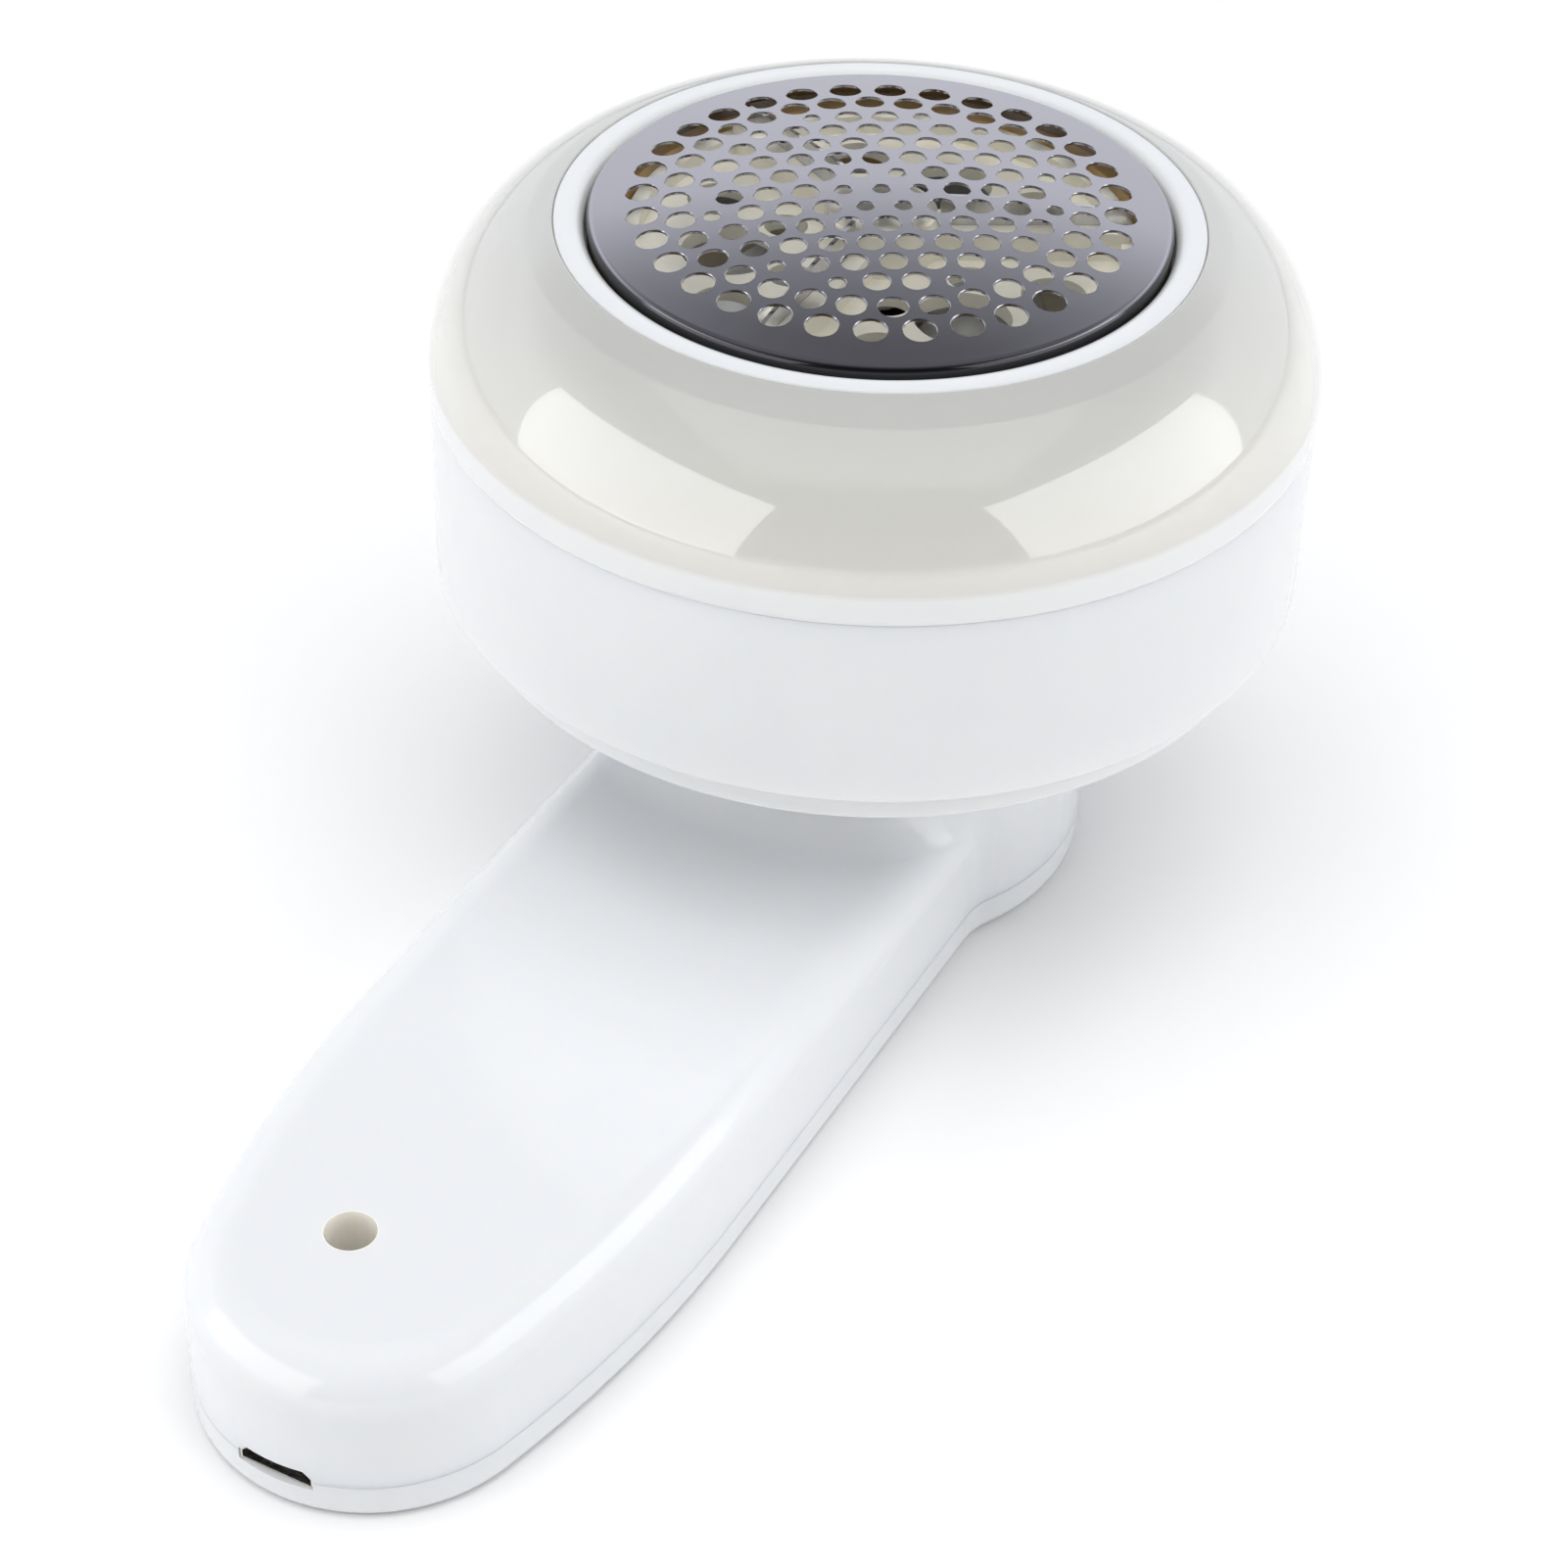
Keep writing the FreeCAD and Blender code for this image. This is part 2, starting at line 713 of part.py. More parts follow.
def make_head_bowl():
    """White band, floor and motor tower in one moulding, open upwards as the lint chamber."""
    band_top = d.dome_seam - d.dome_gap
    band_inner = d.band_radius - d.band_wall
    tower_inner = d.tower_radius - d.tower_wall
    floor_top = d.band_bottom + d.bowl_floor
    form = revolved("bowl_form", [
        (tower_inner, d.band_bottom),
        (d.band_radius - d.band_round, d.band_bottom, d.band_round),
        (d.band_radius, d.band_bottom + d.band_round),
        (d.band_radius, band_top - 0.3),
        (d.band_radius - 0.3, band_top),
        (band_inner, band_top),
        (band_inner, floor_top),
        (d.tower_radius, floor_top),
        (d.tower_radius, d.tower_top - 1.0, 1.0),
        (d.tower_radius - 1.0, d.tower_top),
        (d.motor_boss_radius + d.slide_gap, d.tower_top),
        (d.motor_boss_radius + d.slide_gap, d.tower_top - d.tower_roof),
        (tower_inner, d.tower_top - d.tower_roof),
    ])
    bosses = [
        cylinder(f"bowl_boss_{index}", d.screw_boss, floor_top - 0.5, d.boss_top, x, y)
        for index, (x, y) in enumerate(head_screw_places)
    ]
    holes = [
        cylinder(f"bowl_hole_{index}", d.head_screw_radius + 0.02, d.band_bottom - 1,
                 d.head_screw_top + 0.5, x, y)
        for index, (x, y) in enumerate(head_screw_places)
    ]
    bore = cylinder("tower_bore", tower_inner, d.band_bottom - 1, d.tower_top - d.tower_roof)
    return keep(cut("head_bowl", fuse("bowl_solid", form, *bosses), bore, *holes))


make_base_plate()
make_head_bowl()


# ---------------------------------------------------------------- lint dome and its seal

def arc_height(radius, at):
    """Height of the dome's curve, of this radius, above its centre at a distance from the axis."""
    across = at - (d.dome_radius - d.dome_curve)
    return (radius * radius - across * across).root()


def bayonet_slots():
    """Slots inside the collar: each lug turns along its slot and leaves it downwards."""
    outer = d.ring_lug_radius + d.slide_gap
    inner = d.collar_inner - 1
    low, high = d.lug_bottom - 0.3, d.lug_bottom + d.lug_height + 0.3
    margin = 2.0
    slots = []
    for index in range(3):
        start = index * 120 - d.lug_angle / 2 - margin
        sweep = d.lug_angle + d.ring_twist + 2 * margin
        slots.append(tube(f"slot_{index}", inner, outer, low, high, turn=start.value, sector=sweep))
        way_out = start + d.ring_twist
        slots.append(tube(f"slot_exit_{index}", inner, outer, d.collar_bottom - 1, high,
                          turn=way_out.value, sector=d.lug_angle + 2 * margin))
    return slots


def make_lint_dome():
    """Translucent cover: rounded outside, collar for the foil ring, spigot inside the band."""
    base = d.dome_curve_height
    inner_curve = d.dome_curve - d.dome_wall
    collar_outer = d.collar_inner + d.collar_wall
    lead_in = d.collar_inner + d.collar_round
    spigot_outer = d.band_radius - d.band_wall - d.slide_gap
    spigot_inner = spigot_outer - d.spigot_wall
    shelf_x = d.dome_radius - d.dome_curve + (
        inner_curve * inner_curve - (d.spigot_shelf - base) * (d.spigot_shelf - base)).root()
    form = revolved("dome_form", [
        (d.dome_radius - 0.3, d.dome_seam),
        (d.dome_radius, d.dome_seam + 0.3),
        (d.dome_radius, base, d.dome_curve),
        (lead_in, base + arc_height(d.dome_curve, lead_in)),
        (d.collar_inner, base + arc_height(d.dome_curve, lead_in) - d.collar_round),
        (d.collar_inner, d.collar_bottom),
        (collar_outer, d.collar_bottom),
        (collar_outer, base + arc_height(inner_curve, collar_outer), -inner_curve),
        (shelf_x, d.spigot_shelf),
        (spigot_inner, d.spigot_shelf),
        (spigot_inner, d.spigot_bottom),
        (spigot_outer, d.spigot_bottom),
        (spigot_outer, d.dome_seam),
    ])
    groove = document.addObject("Part::Torus", "seal_groove")
    seal_centre = spigot_outer - 0.3
    bind(groove, Radius1=seal_centre, Radius2=d.seal_wire + 0.02)
    place(groove, z=d.seal_height)
    keep(cut("lint_dome", form, groove, *bayonet_slots()))
    seal = document.addObject("Part::Torus", "dome_seal")
    bind(seal, Radius1=seal_centre, Radius2=d.seal_wire)
    keep(place(seal, z=d.seal_height))


ring_outer = d.collar_inner - d.ring_gap
d.ring_lug_radius = ring_outer + d.lug_reach
make_lint_dome()


# ---------------------------------------------------------------- foil ring, foil, foil seat

def make_foil_ring():
    """White retainer: rounded rim, ledge that holds the foil's flange, three bayonet lugs."""
    bore = ring_outer - d.ring_wall
    form = revolved("ring_form", [
        (bore, d.ring_bottom),
        (ring_outer, d.ring_bottom),
        (ring_outer, d.ring_top - d.ring_round, d.ring_round),
        (ring_outer - d.ring_round, d.ring_top),
        (d.ring_inner + d.ring_round, d.ring_top, d.ring_round),
        (d.ring_inner, d.ring_top - d.ring_round),
        (d.ring_inner, d.ring_ledge),
        (bore, d.ring_ledge),
    ])
    lugs = [
        tube(f"lug_{index}", ring_outer - 0.5, d.ring_lug_radius, d.lug_bottom,
             d.lug_bottom + d.lug_height, turn=index * 120 - d.lug_angle.value / 2, sector=d.lug_angle)
        for index in range(3)
    ]
    return keep(fuse("foil_ring", form, *lugs))


def foil_sphere():
    """Radius of the foil's outer sphere, from its crown height over its edge."""
    rise = d.foil_crown - d.foil_edge
    return (d.foil_radius * d.foil_radius + rise * rise) / (2 * rise)


sphere = foil_sphere()
sphere_centre = d.foil_crown - sphere


def sphere_height(radius, at):
    """Height of a sphere concentric with the foil at a distance from the axis."""
    return sphere_centre + (radius * radius - at * at).root()


def hole_places():
    """Foil holes as (x, y, diameter): a triangular field inside two circles of holes."""
    pitch = d.hole_pitch.value
    small, large = d.small_hole.value, d.large_hole.value
    rings = 5
    places = []
    for along in range(-rings, rings + 1):
        for across in range(-rings, rings + 1):
            distances = sorted(abs(step) for step in (along, across, along + across))
            ring, second = distances[2], distances[1]
            if ring > rings or second == rings:
                continue
            is_small = ring <= 1 or (ring == rings and second == rings - 1)
            places.append((across * pitch * math.cos(math.radians(30)),
                           pitch * (along + across / 2), small if is_small else large))
    count = 32
    for radius, diameter, stagger in ((d.inner_circle, d.inner_circle_hole, 0.5),
                                      (d.outer_circle, d.outer_circle_hole, 0)):
        for index in range(count):
            x, y = polar(radius.value, 90 + (index + stagger) * 360 / count)
            places.append((x, y, diameter.value))
    return places


def make_foil():
    """Steel foil: shallow spherical cap, short skirt and flange, pierced by round holes."""
    inside = d.foil_radius - d.foil_thickness
    inner_sphere = sphere - d.foil_thickness
    flange_top = d.ring_ledge - 0.05
    flange_bottom = flange_top - d.foil_thickness
    shoulder = d.foil_radius - d.foil_round
    form = revolved("foil_form", [
        (0, sphere_centre + inner_sphere, -inner_sphere),
        (inside, sphere_height(inner_sphere, inside)),
        (inside, flange_bottom),
        (d.foil_flange_radius, flange_bottom),
        (d.foil_flange_radius, flange_top),
        (d.foil_radius, flange_top),
        (d.foil_radius, d.foil_edge - d.foil_round, d.foil_round),
        (shoulder, sphere_height(sphere, shoulder), sphere),
        (0, d.foil_crown),
    ])
    drills = [
        Part.makeCylinder(diameter / 2, 8, FreeCAD.Vector(x, y, d.foil_crown.value - 6))
        for x, y, diameter in hole_places()
    ]
    holes = place(coded("foil_holes", Part.makeCompound(drills)), turn=d.pattern_turn.value)
    return keep(cut("foil", form, holes))


def make_foil_seat():
    """Amber ring that carries the foil's flange and surrounds the blades."""
    outer = ring_outer - d.ring_wall - 0.1
    top = d.ring_ledge - 0.05 - d.foil_thickness
    return keep(revolved("foil_seat", [
        (d.seat_inner, d.seat_bottom),
        (outer, d.seat_bottom),
        (outer, top - 0.05),
        (d.seat_inner + 0.6, top - 0.05),
        (d.seat_inner, top - 0.65),
    ]))


make_foil_ring()
make_foil()
make_foil_seat()


# ---------------------------------------------------------------- blade rotor

BLADE_ANGLES = (30, 150, 270)


def make_blade_carrier():
    """Cream rotor: hub with a flat-sided bore, web with windows, rim and three slotted arms."""
    web_top = d.rotor_bottom + d.rotor_web
    hub = cylinder("hub", d.hub_radius, d.hub_bottom, d.hub_top)
    web = cylinder("web", d.rotor_radius, d.rotor_bottom, web_top)
    rim = tube("rotor_rim", d.rotor_radius - d.rotor_rim_wall, d.rotor_radius, d.rotor_bottom,
               d.rotor_rim_top)
    half_arm = d.arm_width / 2
    arms = [
        box(f"arm_{index}", (d.hub_radius - 1, d.rotor_radius - 0.8), (-half_arm, half_arm),
            (d.rotor_bottom, d.arm_top), turn=angle)
        for index, angle in enumerate(BLADE_ANGLES)
    ]
    half_slot = d.blade_slot / 2
    tools = [
        box(f"blade_slot_{index}", (d.blade_start - 0.1, d.blade_end + 0.1), (-half_slot, half_slot),
            (d.blade_bottom, d.arm_top + 3), turn=angle)
        for index, angle in enumerate(BLADE_ANGLES)
    ]
    for sector, angle in enumerate(BLADE_ANGLES):
        for window, (radius, offset, size) in enumerate(
                ((14.8, 60, 4.8), (18.6, 27, 3.2), (18.6, 93, 3.2), (10.2, 32, 2.2), (10.2, 88, 2.2))):
            x, y = polar(radius, angle + offset)
            tools.append(cylinder(f"window_{sector}_{window}", size, d.rotor_bottom - 1, web_top + 1, x, y))
    bore = cylinder("hub_bore_round", d.coupler_radius + d.coupler_clearance, d.hub_bottom - 1,
                    d.hub_bore_top)
    half_flat = d.coupler_flats / 2 + d.coupler_clearance
    flats = box("hub_bore_flats", (-half_flat, half_flat), (-10, 10), (d.hub_bottom - 1, d.hub_bore_top))
    tools.append(common("hub_bore", bore, flats))
    return keep(cut("blade_carrier", fuse("carrier_solid", hub, web, rim, *arms), *tools))


def make_blades():
    """Three steel blades whose top edges follow the inside of the foil."""
    edge_sphere = sphere - d.foil_thickness - d.blade_gap
    half = d.blade_thickness / 2
    for number, angle in enumerate(BLADE_ANGLES, start=1):
        body = new_body(f"blade_{number}")
        sketch = outline(body, "XZ_Plane", [
            (d.blade_start, d.blade_bottom),
            (d.blade_end, d.blade_bottom),
            (d.blade_end, sphere_height(edge_sphere, d.blade_end), edge_sphere),
            (d.blade_start, sphere_height(edge_sphere, d.blade_start)),
        ], height=-half)
        pad(body, sketch, d.blade_thickness)
        keep(place(body, turn=angle))


def make_blade_cap():
    """Domed cap that closes the hub under the foil's crown."""
    radius = d.hub_radius - 0.4
    brim = d.hub_top + 0.4
    rise = d.cap_top - brim
    crown = (radius * radius + rise * rise) / (2 * rise)
    return keep(revolved("blade_cap", [
        (0, d.hub_top),
        (radius, d.hub_top),
        (radius, brim, crown),
        (0, d.cap_top),
    ]))


make_blade_carrier()
make_blades()
make_blade_cap()


# ---------------------------------------------------------------- drive

def make_coupler():
    """Driver pressed on the motor shaft: round flange, then a stem with two flats."""
    flange_top = d.coupler_bottom + d.coupler_flange
    flange = cylinder("coupler_flange", d.coupler_flange_radius, d.coupler_bottom, flange_top)
    stem_round = cylinder("coupler_round", d.coupler_radius, d.coupler_bottom, d.coupler_top)
    half_flat = d.coupler_flats / 2
    stem_flats = box("coupler_flats_box", (-half_flat, half_flat), (-10, 10),
                     (d.coupler_bottom, d.coupler_top))
    stem = common("coupler_stem", stem_round, stem_flats)
    bore = cylinder("coupler_bore", d.shaft_radius, d.coupler_bottom - 1, d.shaft_top)
    return keep(cut("drive_coupler", fuse("coupler_solid", flange, stem), bore))


def make_cutter_spring():
    """Compression spring between the coupler's flange and the rotor's hub."""
    low = d.coupler_bottom + d.coupler_flange + d.spring_wire
    rise = d.hub_bottom - d.spring_wire - low
    helix = document.addObject("Part::Helix", "spring_path")
    bind(helix, Pitch=rise / d.spring_turns, Height=rise, Radius=d.spring_radius)
    place(helix, z=low)
    section = document.addObject("Part::Circle", "spring_section")
    bind(section, Radius=d.spring_wire)
    section.Placement = FreeCAD.Placement(FreeCAD.Vector(d.spring_radius.value, 0, low.value),
                                          FreeCAD.Rotation(FreeCAD.Vector(1, 0, 0), 90))
    section.setExpression("Placement.Base.x", d.spring_radius.formula)
    section.setExpression("Placement.Base.z", low.formula)
    document.recompute()
    spring = document.addObject("Part::Sweep", "cutter_spring")
    spring.Sections = [section]
    spring.Spine = (helix, [])
    spring.Solid = True
    spring.Frenet = True
    return keep(spring)


def make_armature():
    """Three-pole armature with its commutator, pressed on the shaft."""
    stack = cylinder("armature_stack", d.armature_radius, d.stack_bottom, d.stack_top)
    collar = cylinder("commutator", d.commutator_radius, d.end_cap_top + 0.7, d.stack_bottom)
    nose = cylinder("winding_nose", 6.5, d.stack_top, d.stack_top + 2.5)
    gaps = [
        box(f"pole_gap_{index}", (5.5, 12), (-1.2, 1.2), (d.stack_bottom - 1, d.stack_top + 1), turn=angle)
        for index, angle in enumerate((0, 120, 240))
    ]
    bore = cylinder("armature_bore", d.shaft_radius, d.end_cap_top, d.stack_top + 3)
    return keep(cut("motor_armature", fuse("armature_solid", stack, collar, nose), bore, *gaps))


keep(cylinder("motor_shaft", d.shaft_radius, d.shaft_bottom, d.shaft_top))
make_coupler()
make_cutter_spring()
make_armature()


# ---------------------------------------------------------------- motor, fixed pieces

def make_motor():
    """Can, end cap, bushes, magnets, terminals, damper, shaft seal and retainer."""
    inner = d.motor_radius - d.can_wall
    keep(revolved("motor_can", [
        (inner, d.motor_bottom),
        (d.motor_radius, d.motor_bottom),
        (d.motor_radius, d.motor_top),
        (d.motor_boss_radius, d.motor_top),
        (d.motor_boss_radius, d.motor_boss_top),
        (d.bush_radius, d.motor_boss_top),
        (d.bush_radius, d.motor_top - d.can_wall),
        (inner, d.motor_top - d.can_wall),
    ]))
    bush_bore = d.shaft_radius + d.bush_clearance
    keep(revolved("motor_end_cap", [
        (d.bush_radius, d.end_cap_bottom),
        (d.motor_radius, d.end_cap_bottom),
        (d.motor_radius, d.motor_bottom),
        (inner - 0.05, d.motor_bottom),
        (inner - 0.05, d.end_cap_top),
        (d.bush_radius, d.end_cap_top),
    ]))
    keep(group("motor_bushes", [
        tube("front_bush", bush_bore, d.bush_radius, d.motor_top - d.can_wall, d.motor_boss_top),
        tube("rear_bush", bush_bore, d.bush_radius, d.end_cap_bottom, d.end_cap_top),
    ]))
    sectors = [
        tube(f"magnet_{index}", d.magnet_inner, d.magnet_outer, d.stack_bottom - 1, d.stack_top + 1,
             turn=start, sector=140)
        for index, start in enumerate((20, 200))
    ]
    keep(group("motor_magnets", sectors))
    keep(group("motor_terminals", [
        box(f"terminal_{index}", (x - 0.2, x + 0.2), (-1.1, 1.1),
            (d.end_cap_bottom - 2.6, d.end_cap_bottom))
        for index, x in enumerate((-5.5, 5.5))
    ]))
    keep(tube("motor_damper", d.motor_boss_radius + 0.2, d.motor_radius - 0.4, d.motor_top,
              d.tower_top - d.tower_roof - 0.05))
    keep(tube("shaft_seal", d.shaft_radius + 0.08, d.motor_boss_radius,
              d.motor_boss_top + 0.1, d.tower_top))


def make_retainer():
    """Plate with three ears that holds the motor up in its tower."""
    top = d.end_cap_bottom
    bottom = top - d.retainer_thickness
    disc = cylinder("retainer_disc", d.retainer_radius, bottom, top)
    ears = [
        cylinder(f"retainer_ear_{index}", d.screw_boss, bottom, top, x, y)
        for index, (x, y) in enumerate(head_screw_places)
    ]
    holes = [cylinder("retainer_opening_cut", d.retainer_opening, bottom - 1, top + 1)]
    holes += [
        cylinder(f"retainer_hole_{index}", 1.4, bottom - 1, top + 1, x, y)
        for index, (x, y) in enumerate(head_screw_places)
    ]
    keep(cut("motor_retainer", fuse("retainer_solid", disc, *ears), *holes))
    keep(group("head_screws", [
        screw(f"head_screw_{index}", x, y, 2.4, 1.5, d.end_cap_bottom - d.retainer_thickness,
              d.head_screw_radius, d.head_screw_top)
        for index, (x, y) in enumerate(head_screw_places)
    ]))


make_motor()
make_retainer()


# ---------------------------------------------------------------- electrical pieces

def make_cell():
    """Round lithium cell along the handle, with a nickel tab at each end."""
    keep(lying_cylinder("battery_cell", d.cell_radius, d.cell_front, d.cell_length))
    plate_bottom = d.cell_height - 3
    rear = d.cell_front + d.cell_length
    keep(group("battery_tabs", [
        box("tab_front", (-3, 3), (-d.cell_front + 0.02, -d.cell_front + 0.22), (plate_bottom, 12)),
        box("tab_rear", (-3, 3), (-rear - 0.22, -rear - 0.02), (plate_bottom, 12)),
    ]))


def make_switch_board():
    """Board over the power button, with the tact switch hanging under it."""
    top = d.switch_board_height + d.board_thickness
    board = box("switch_board_blank", (-11, 11), (-34, -14), (d.switch_board_height, top))
    holes = [
        cylinder(f"switch_board_hole_{index}", 1.0, d.switch_board_height - 1, top + 1, x, y)
        for index, (x, y, _) in enumerate(board_posts[:2])
    ]
    keep(cut("switch_board", board, *holes))
    centre = -d.button_reach
    case = box("tact_case", (-3, 3), (centre - 3, centre + 3), (4.9, d.switch_board_height))
    stem = cylinder("tact_stem", 1.6, 4.3, 5.0, 0, centre)
    keep(fuse("tact_switch", case, stem))


def make_charge_board():
    """Board at the tail, cleared round the screw well, with chip, lamp and charging socket."""
    top = d.charge_board_height + d.board_thickness
    half = d.charge_board_width / 2
    front = d.charge_board_start + d.charge_board_length
    board = box("charge_board_blank", (-half, half), (-front, -d.charge_board_start),
                (d.charge_board_height, top))
    holes = [cylinder("charge_board_way", d.well_radius + 2, d.charge_board_height - 1, top + 1,
                      well_x, well_y)]
    holes += [
        cylinder(f"charge_board_hole_{index}", 1.0, d.charge_board_height - 1, top + 1, x, y)
        for index, (x, y, _) in enumerate(board_posts[2:])
    ]
    keep(cut("charge_board", board, *holes))
    keep(box("charge_chip", (-2.5, 2.5), (-106.5, -102.0), (top, top + 1.2)))
    keep(box("charge_led", (WINDOW_X - 0.8, WINDOW_X + 0.8), (WINDOW_Y - 0.5, WINDOW_Y + 0.5),
             (d.charge_board_height - 0.7, d.charge_board_height)))
    pipe = cylinder("window_pipe", 1.15, 0.15, d.charge_board_height - 0.9, WINDOW_X, WINDOW_Y)
    flange = cylinder("window_flange", 1.8, d.shell_wall, d.shell_wall + 0.6, WINDOW_X, WINDOW_Y)
    keep(fuse("led_window", pipe, flange))


def socket_shell(name, inset, start, length):
    """Prism of the charging socket's section, set in by inset."""
    body = new_body(name)
    half = d.usb_width / 2 - d.usb_fit - inset
    low = d.usb_bottom + d.usb_fit + inset
    high = d.usb_bottom + d.usb_height - d.usb_fit - inset
    bevel = d.usb_bevel - d.usb_fit
    sketch = outline(body, "XZ_Plane", [
        (-half, low),
        (half, low),
        (half, high - bevel),
        (half - bevel, high),
        (bevel - half, high),
        (-half, high - bevel),
    ], height=start)
    pad(body, sketch, length)
    return body


def make_usb_socket():
    """Steel socket shell with a plastic tongue."""
    start = d.usb_mouth - d.usb_depth
    back_wall = 0.8
    outside = socket_shell("usb_outside", 0, start, d.usb_depth)
    inside = socket_shell("usb_inside", d.usb_shell, start + back_wall, d.usb_depth)
    keep(cut("usb_socket", outside, inside))
    middle = d.usb_bottom + d.usb_height / 2
    tongue_recess, tongue_half, tongue_thickness = 1.4, 1.85, 0.5
    keep(box("usb_tongue", (-tongue_half, tongue_half), (-d.usb_mouth + tongue_recess, -start - back_wall),
             (middle, middle + tongue_thickness)))


def make_leads():
    """Leads between motor, cell and boards, held between the two shells."""
    radius = d.lead_radius.value
    board_top = (d.switch_board_height + d.board_thickness).value
    terminal_end = (d.end_cap_bottom - 2.6).value
    keep(coded("motor_leads", Part.makeCompound([
        lead([(side * 4, -19, board_top), (side * 4, -19, 18), (side * 5.5, 0, 18),
              (side * 5.5, 0, terminal_end)], radius, 4.0)
        for side in (-1, 1)
    ])))
    front = -d.cell_front.value
    rear = front - d.cell_length.value
    keep(coded("battery_leads", Part.makeCompound([
        lead([(2, front + 0.25, 11), (2, front + 2.6, 11), (2, front + 5.4, board_top + radius)],
             radius, 1.2),
        lead([(0, rear - 0.85, 11), (-8.4, rear - 1.2, 11), (-11, rear + 4, 11), (-11, front - 3, 11),
              (-6.5, front + 5, board_top + radius + 0.2)], radius, 3.0),
    ])))
    charge_top = (d.charge_board_height + d.board_thickness).value
    keep(coded("charge_leads", Part.makeCompound([
        lead([(5.5, -91.5, charge_top), (5.5, -91.5, 11), (x, -84, 11), (x, -40, 11),
              (x - 4, -33.2, board_top + radius)], radius, 2.4)
        for x in (11.0, 13.0)
    ])))


make_cell()
make_switch_board()
make_charge_board()
make_usb_socket()
make_leads()


# ---------------------------------------------------------------- fasteners of the handle

keep(screw("tail_screw", well_x, well_y, 2.1, 1.4, d.well_floor, 1.0, d.shell_wall + 1.4))
keep(group("cover_screws", [
    screw(f"cover_screw_{index}", side * d.post_x, d.post_y, 2.2, 1.4, d.shell_wall + 0.4, 1.0,
          d.lip_top + 6)
    for index, side in enumerate(POST_SIDES)
]))
keep(group("board_screws", [
    screw(f"board_screw_{index}", x, y, 1.7, 1.0, height + d.board_thickness, 0.8, d.shell_wall + 1)
    for index, (x, y, height) in enumerate(board_posts)
]))


# ---------------------------------------------------------------- power button

def make_power_button():
    """Round button in the flat back: its face is set in, a flange keeps it in the cover."""
    flange_low = d.shell_wall + d.slide_gap
    flange_high = flange_low + 1.0
    body = revolved("power_button", [
        (0, d.button_face + 0.5),
        (4.0, d.button_face + 0.1),
        (d.button_radius - 0.3, d.button_face),
        (d.button_radius, d.button_face + 0.3),
        (d.button_radius, flange_low),
        (d.button_flange, flange_low),
        (d.button_flange, flange_high),
        (2.0, flange_high),
        (2.0, d.button_stem),
        (0, d.button_stem),
    ])
    return keep(place(body, y=-d.button_reach))


make_power_button()


# ---------------------------------------------------------------- checks and export

document.recompute()
for item in document.Objects:
    if "Invalid" in item.State or "Error" in item.State:
        raise RuntimeError(f"{item.Name} failed: {item.State}")
os.makedirs("parts", exist_ok=True)
for name, item in nodes.items():
    shape = item.Shape
    if shape.isNull() or not shape.isValid() or shape.Volume <= 0:
        raise RuntimeError(f"{name} has no valid solid")
    shape.exportStep(f"parts/{name}.step")
    print(f"{name:16s} solids {len(shape.Solids)} volume {shape.Volume:10.2f} mm3")
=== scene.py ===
"""Looks of a cordless fabric shaver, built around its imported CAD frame."""
import json
import math

import bmesh
import bpy
from mathutils import Matrix, Vector, geometry


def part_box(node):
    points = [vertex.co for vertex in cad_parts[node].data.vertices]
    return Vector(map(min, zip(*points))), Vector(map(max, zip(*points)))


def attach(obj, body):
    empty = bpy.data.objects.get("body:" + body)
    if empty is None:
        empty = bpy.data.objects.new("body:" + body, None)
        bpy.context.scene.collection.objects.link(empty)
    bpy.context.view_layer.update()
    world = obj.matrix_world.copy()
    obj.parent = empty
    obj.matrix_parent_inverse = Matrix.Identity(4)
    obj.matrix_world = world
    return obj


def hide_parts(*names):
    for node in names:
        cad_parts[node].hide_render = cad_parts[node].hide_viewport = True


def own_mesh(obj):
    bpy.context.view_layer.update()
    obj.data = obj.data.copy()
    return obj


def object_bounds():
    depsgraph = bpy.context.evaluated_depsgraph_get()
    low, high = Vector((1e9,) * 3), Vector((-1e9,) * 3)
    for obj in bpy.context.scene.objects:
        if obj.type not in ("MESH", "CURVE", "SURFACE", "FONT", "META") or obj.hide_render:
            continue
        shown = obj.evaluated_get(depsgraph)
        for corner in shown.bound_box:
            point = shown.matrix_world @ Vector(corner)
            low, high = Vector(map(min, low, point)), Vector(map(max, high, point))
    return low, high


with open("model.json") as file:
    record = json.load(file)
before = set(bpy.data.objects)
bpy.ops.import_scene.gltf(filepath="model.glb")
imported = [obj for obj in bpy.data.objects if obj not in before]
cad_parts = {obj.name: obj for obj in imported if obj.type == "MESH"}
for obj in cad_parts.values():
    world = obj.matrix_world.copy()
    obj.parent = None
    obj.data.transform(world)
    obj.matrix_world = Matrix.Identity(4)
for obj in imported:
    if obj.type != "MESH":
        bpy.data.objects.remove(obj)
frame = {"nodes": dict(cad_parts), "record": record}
cad_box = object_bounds()
scene = bpy.context.scene
nodes = frame["nodes"]

MM = 0.001
TURN_STEPS = 192


# ---------------------------------------------------------------- node helpers

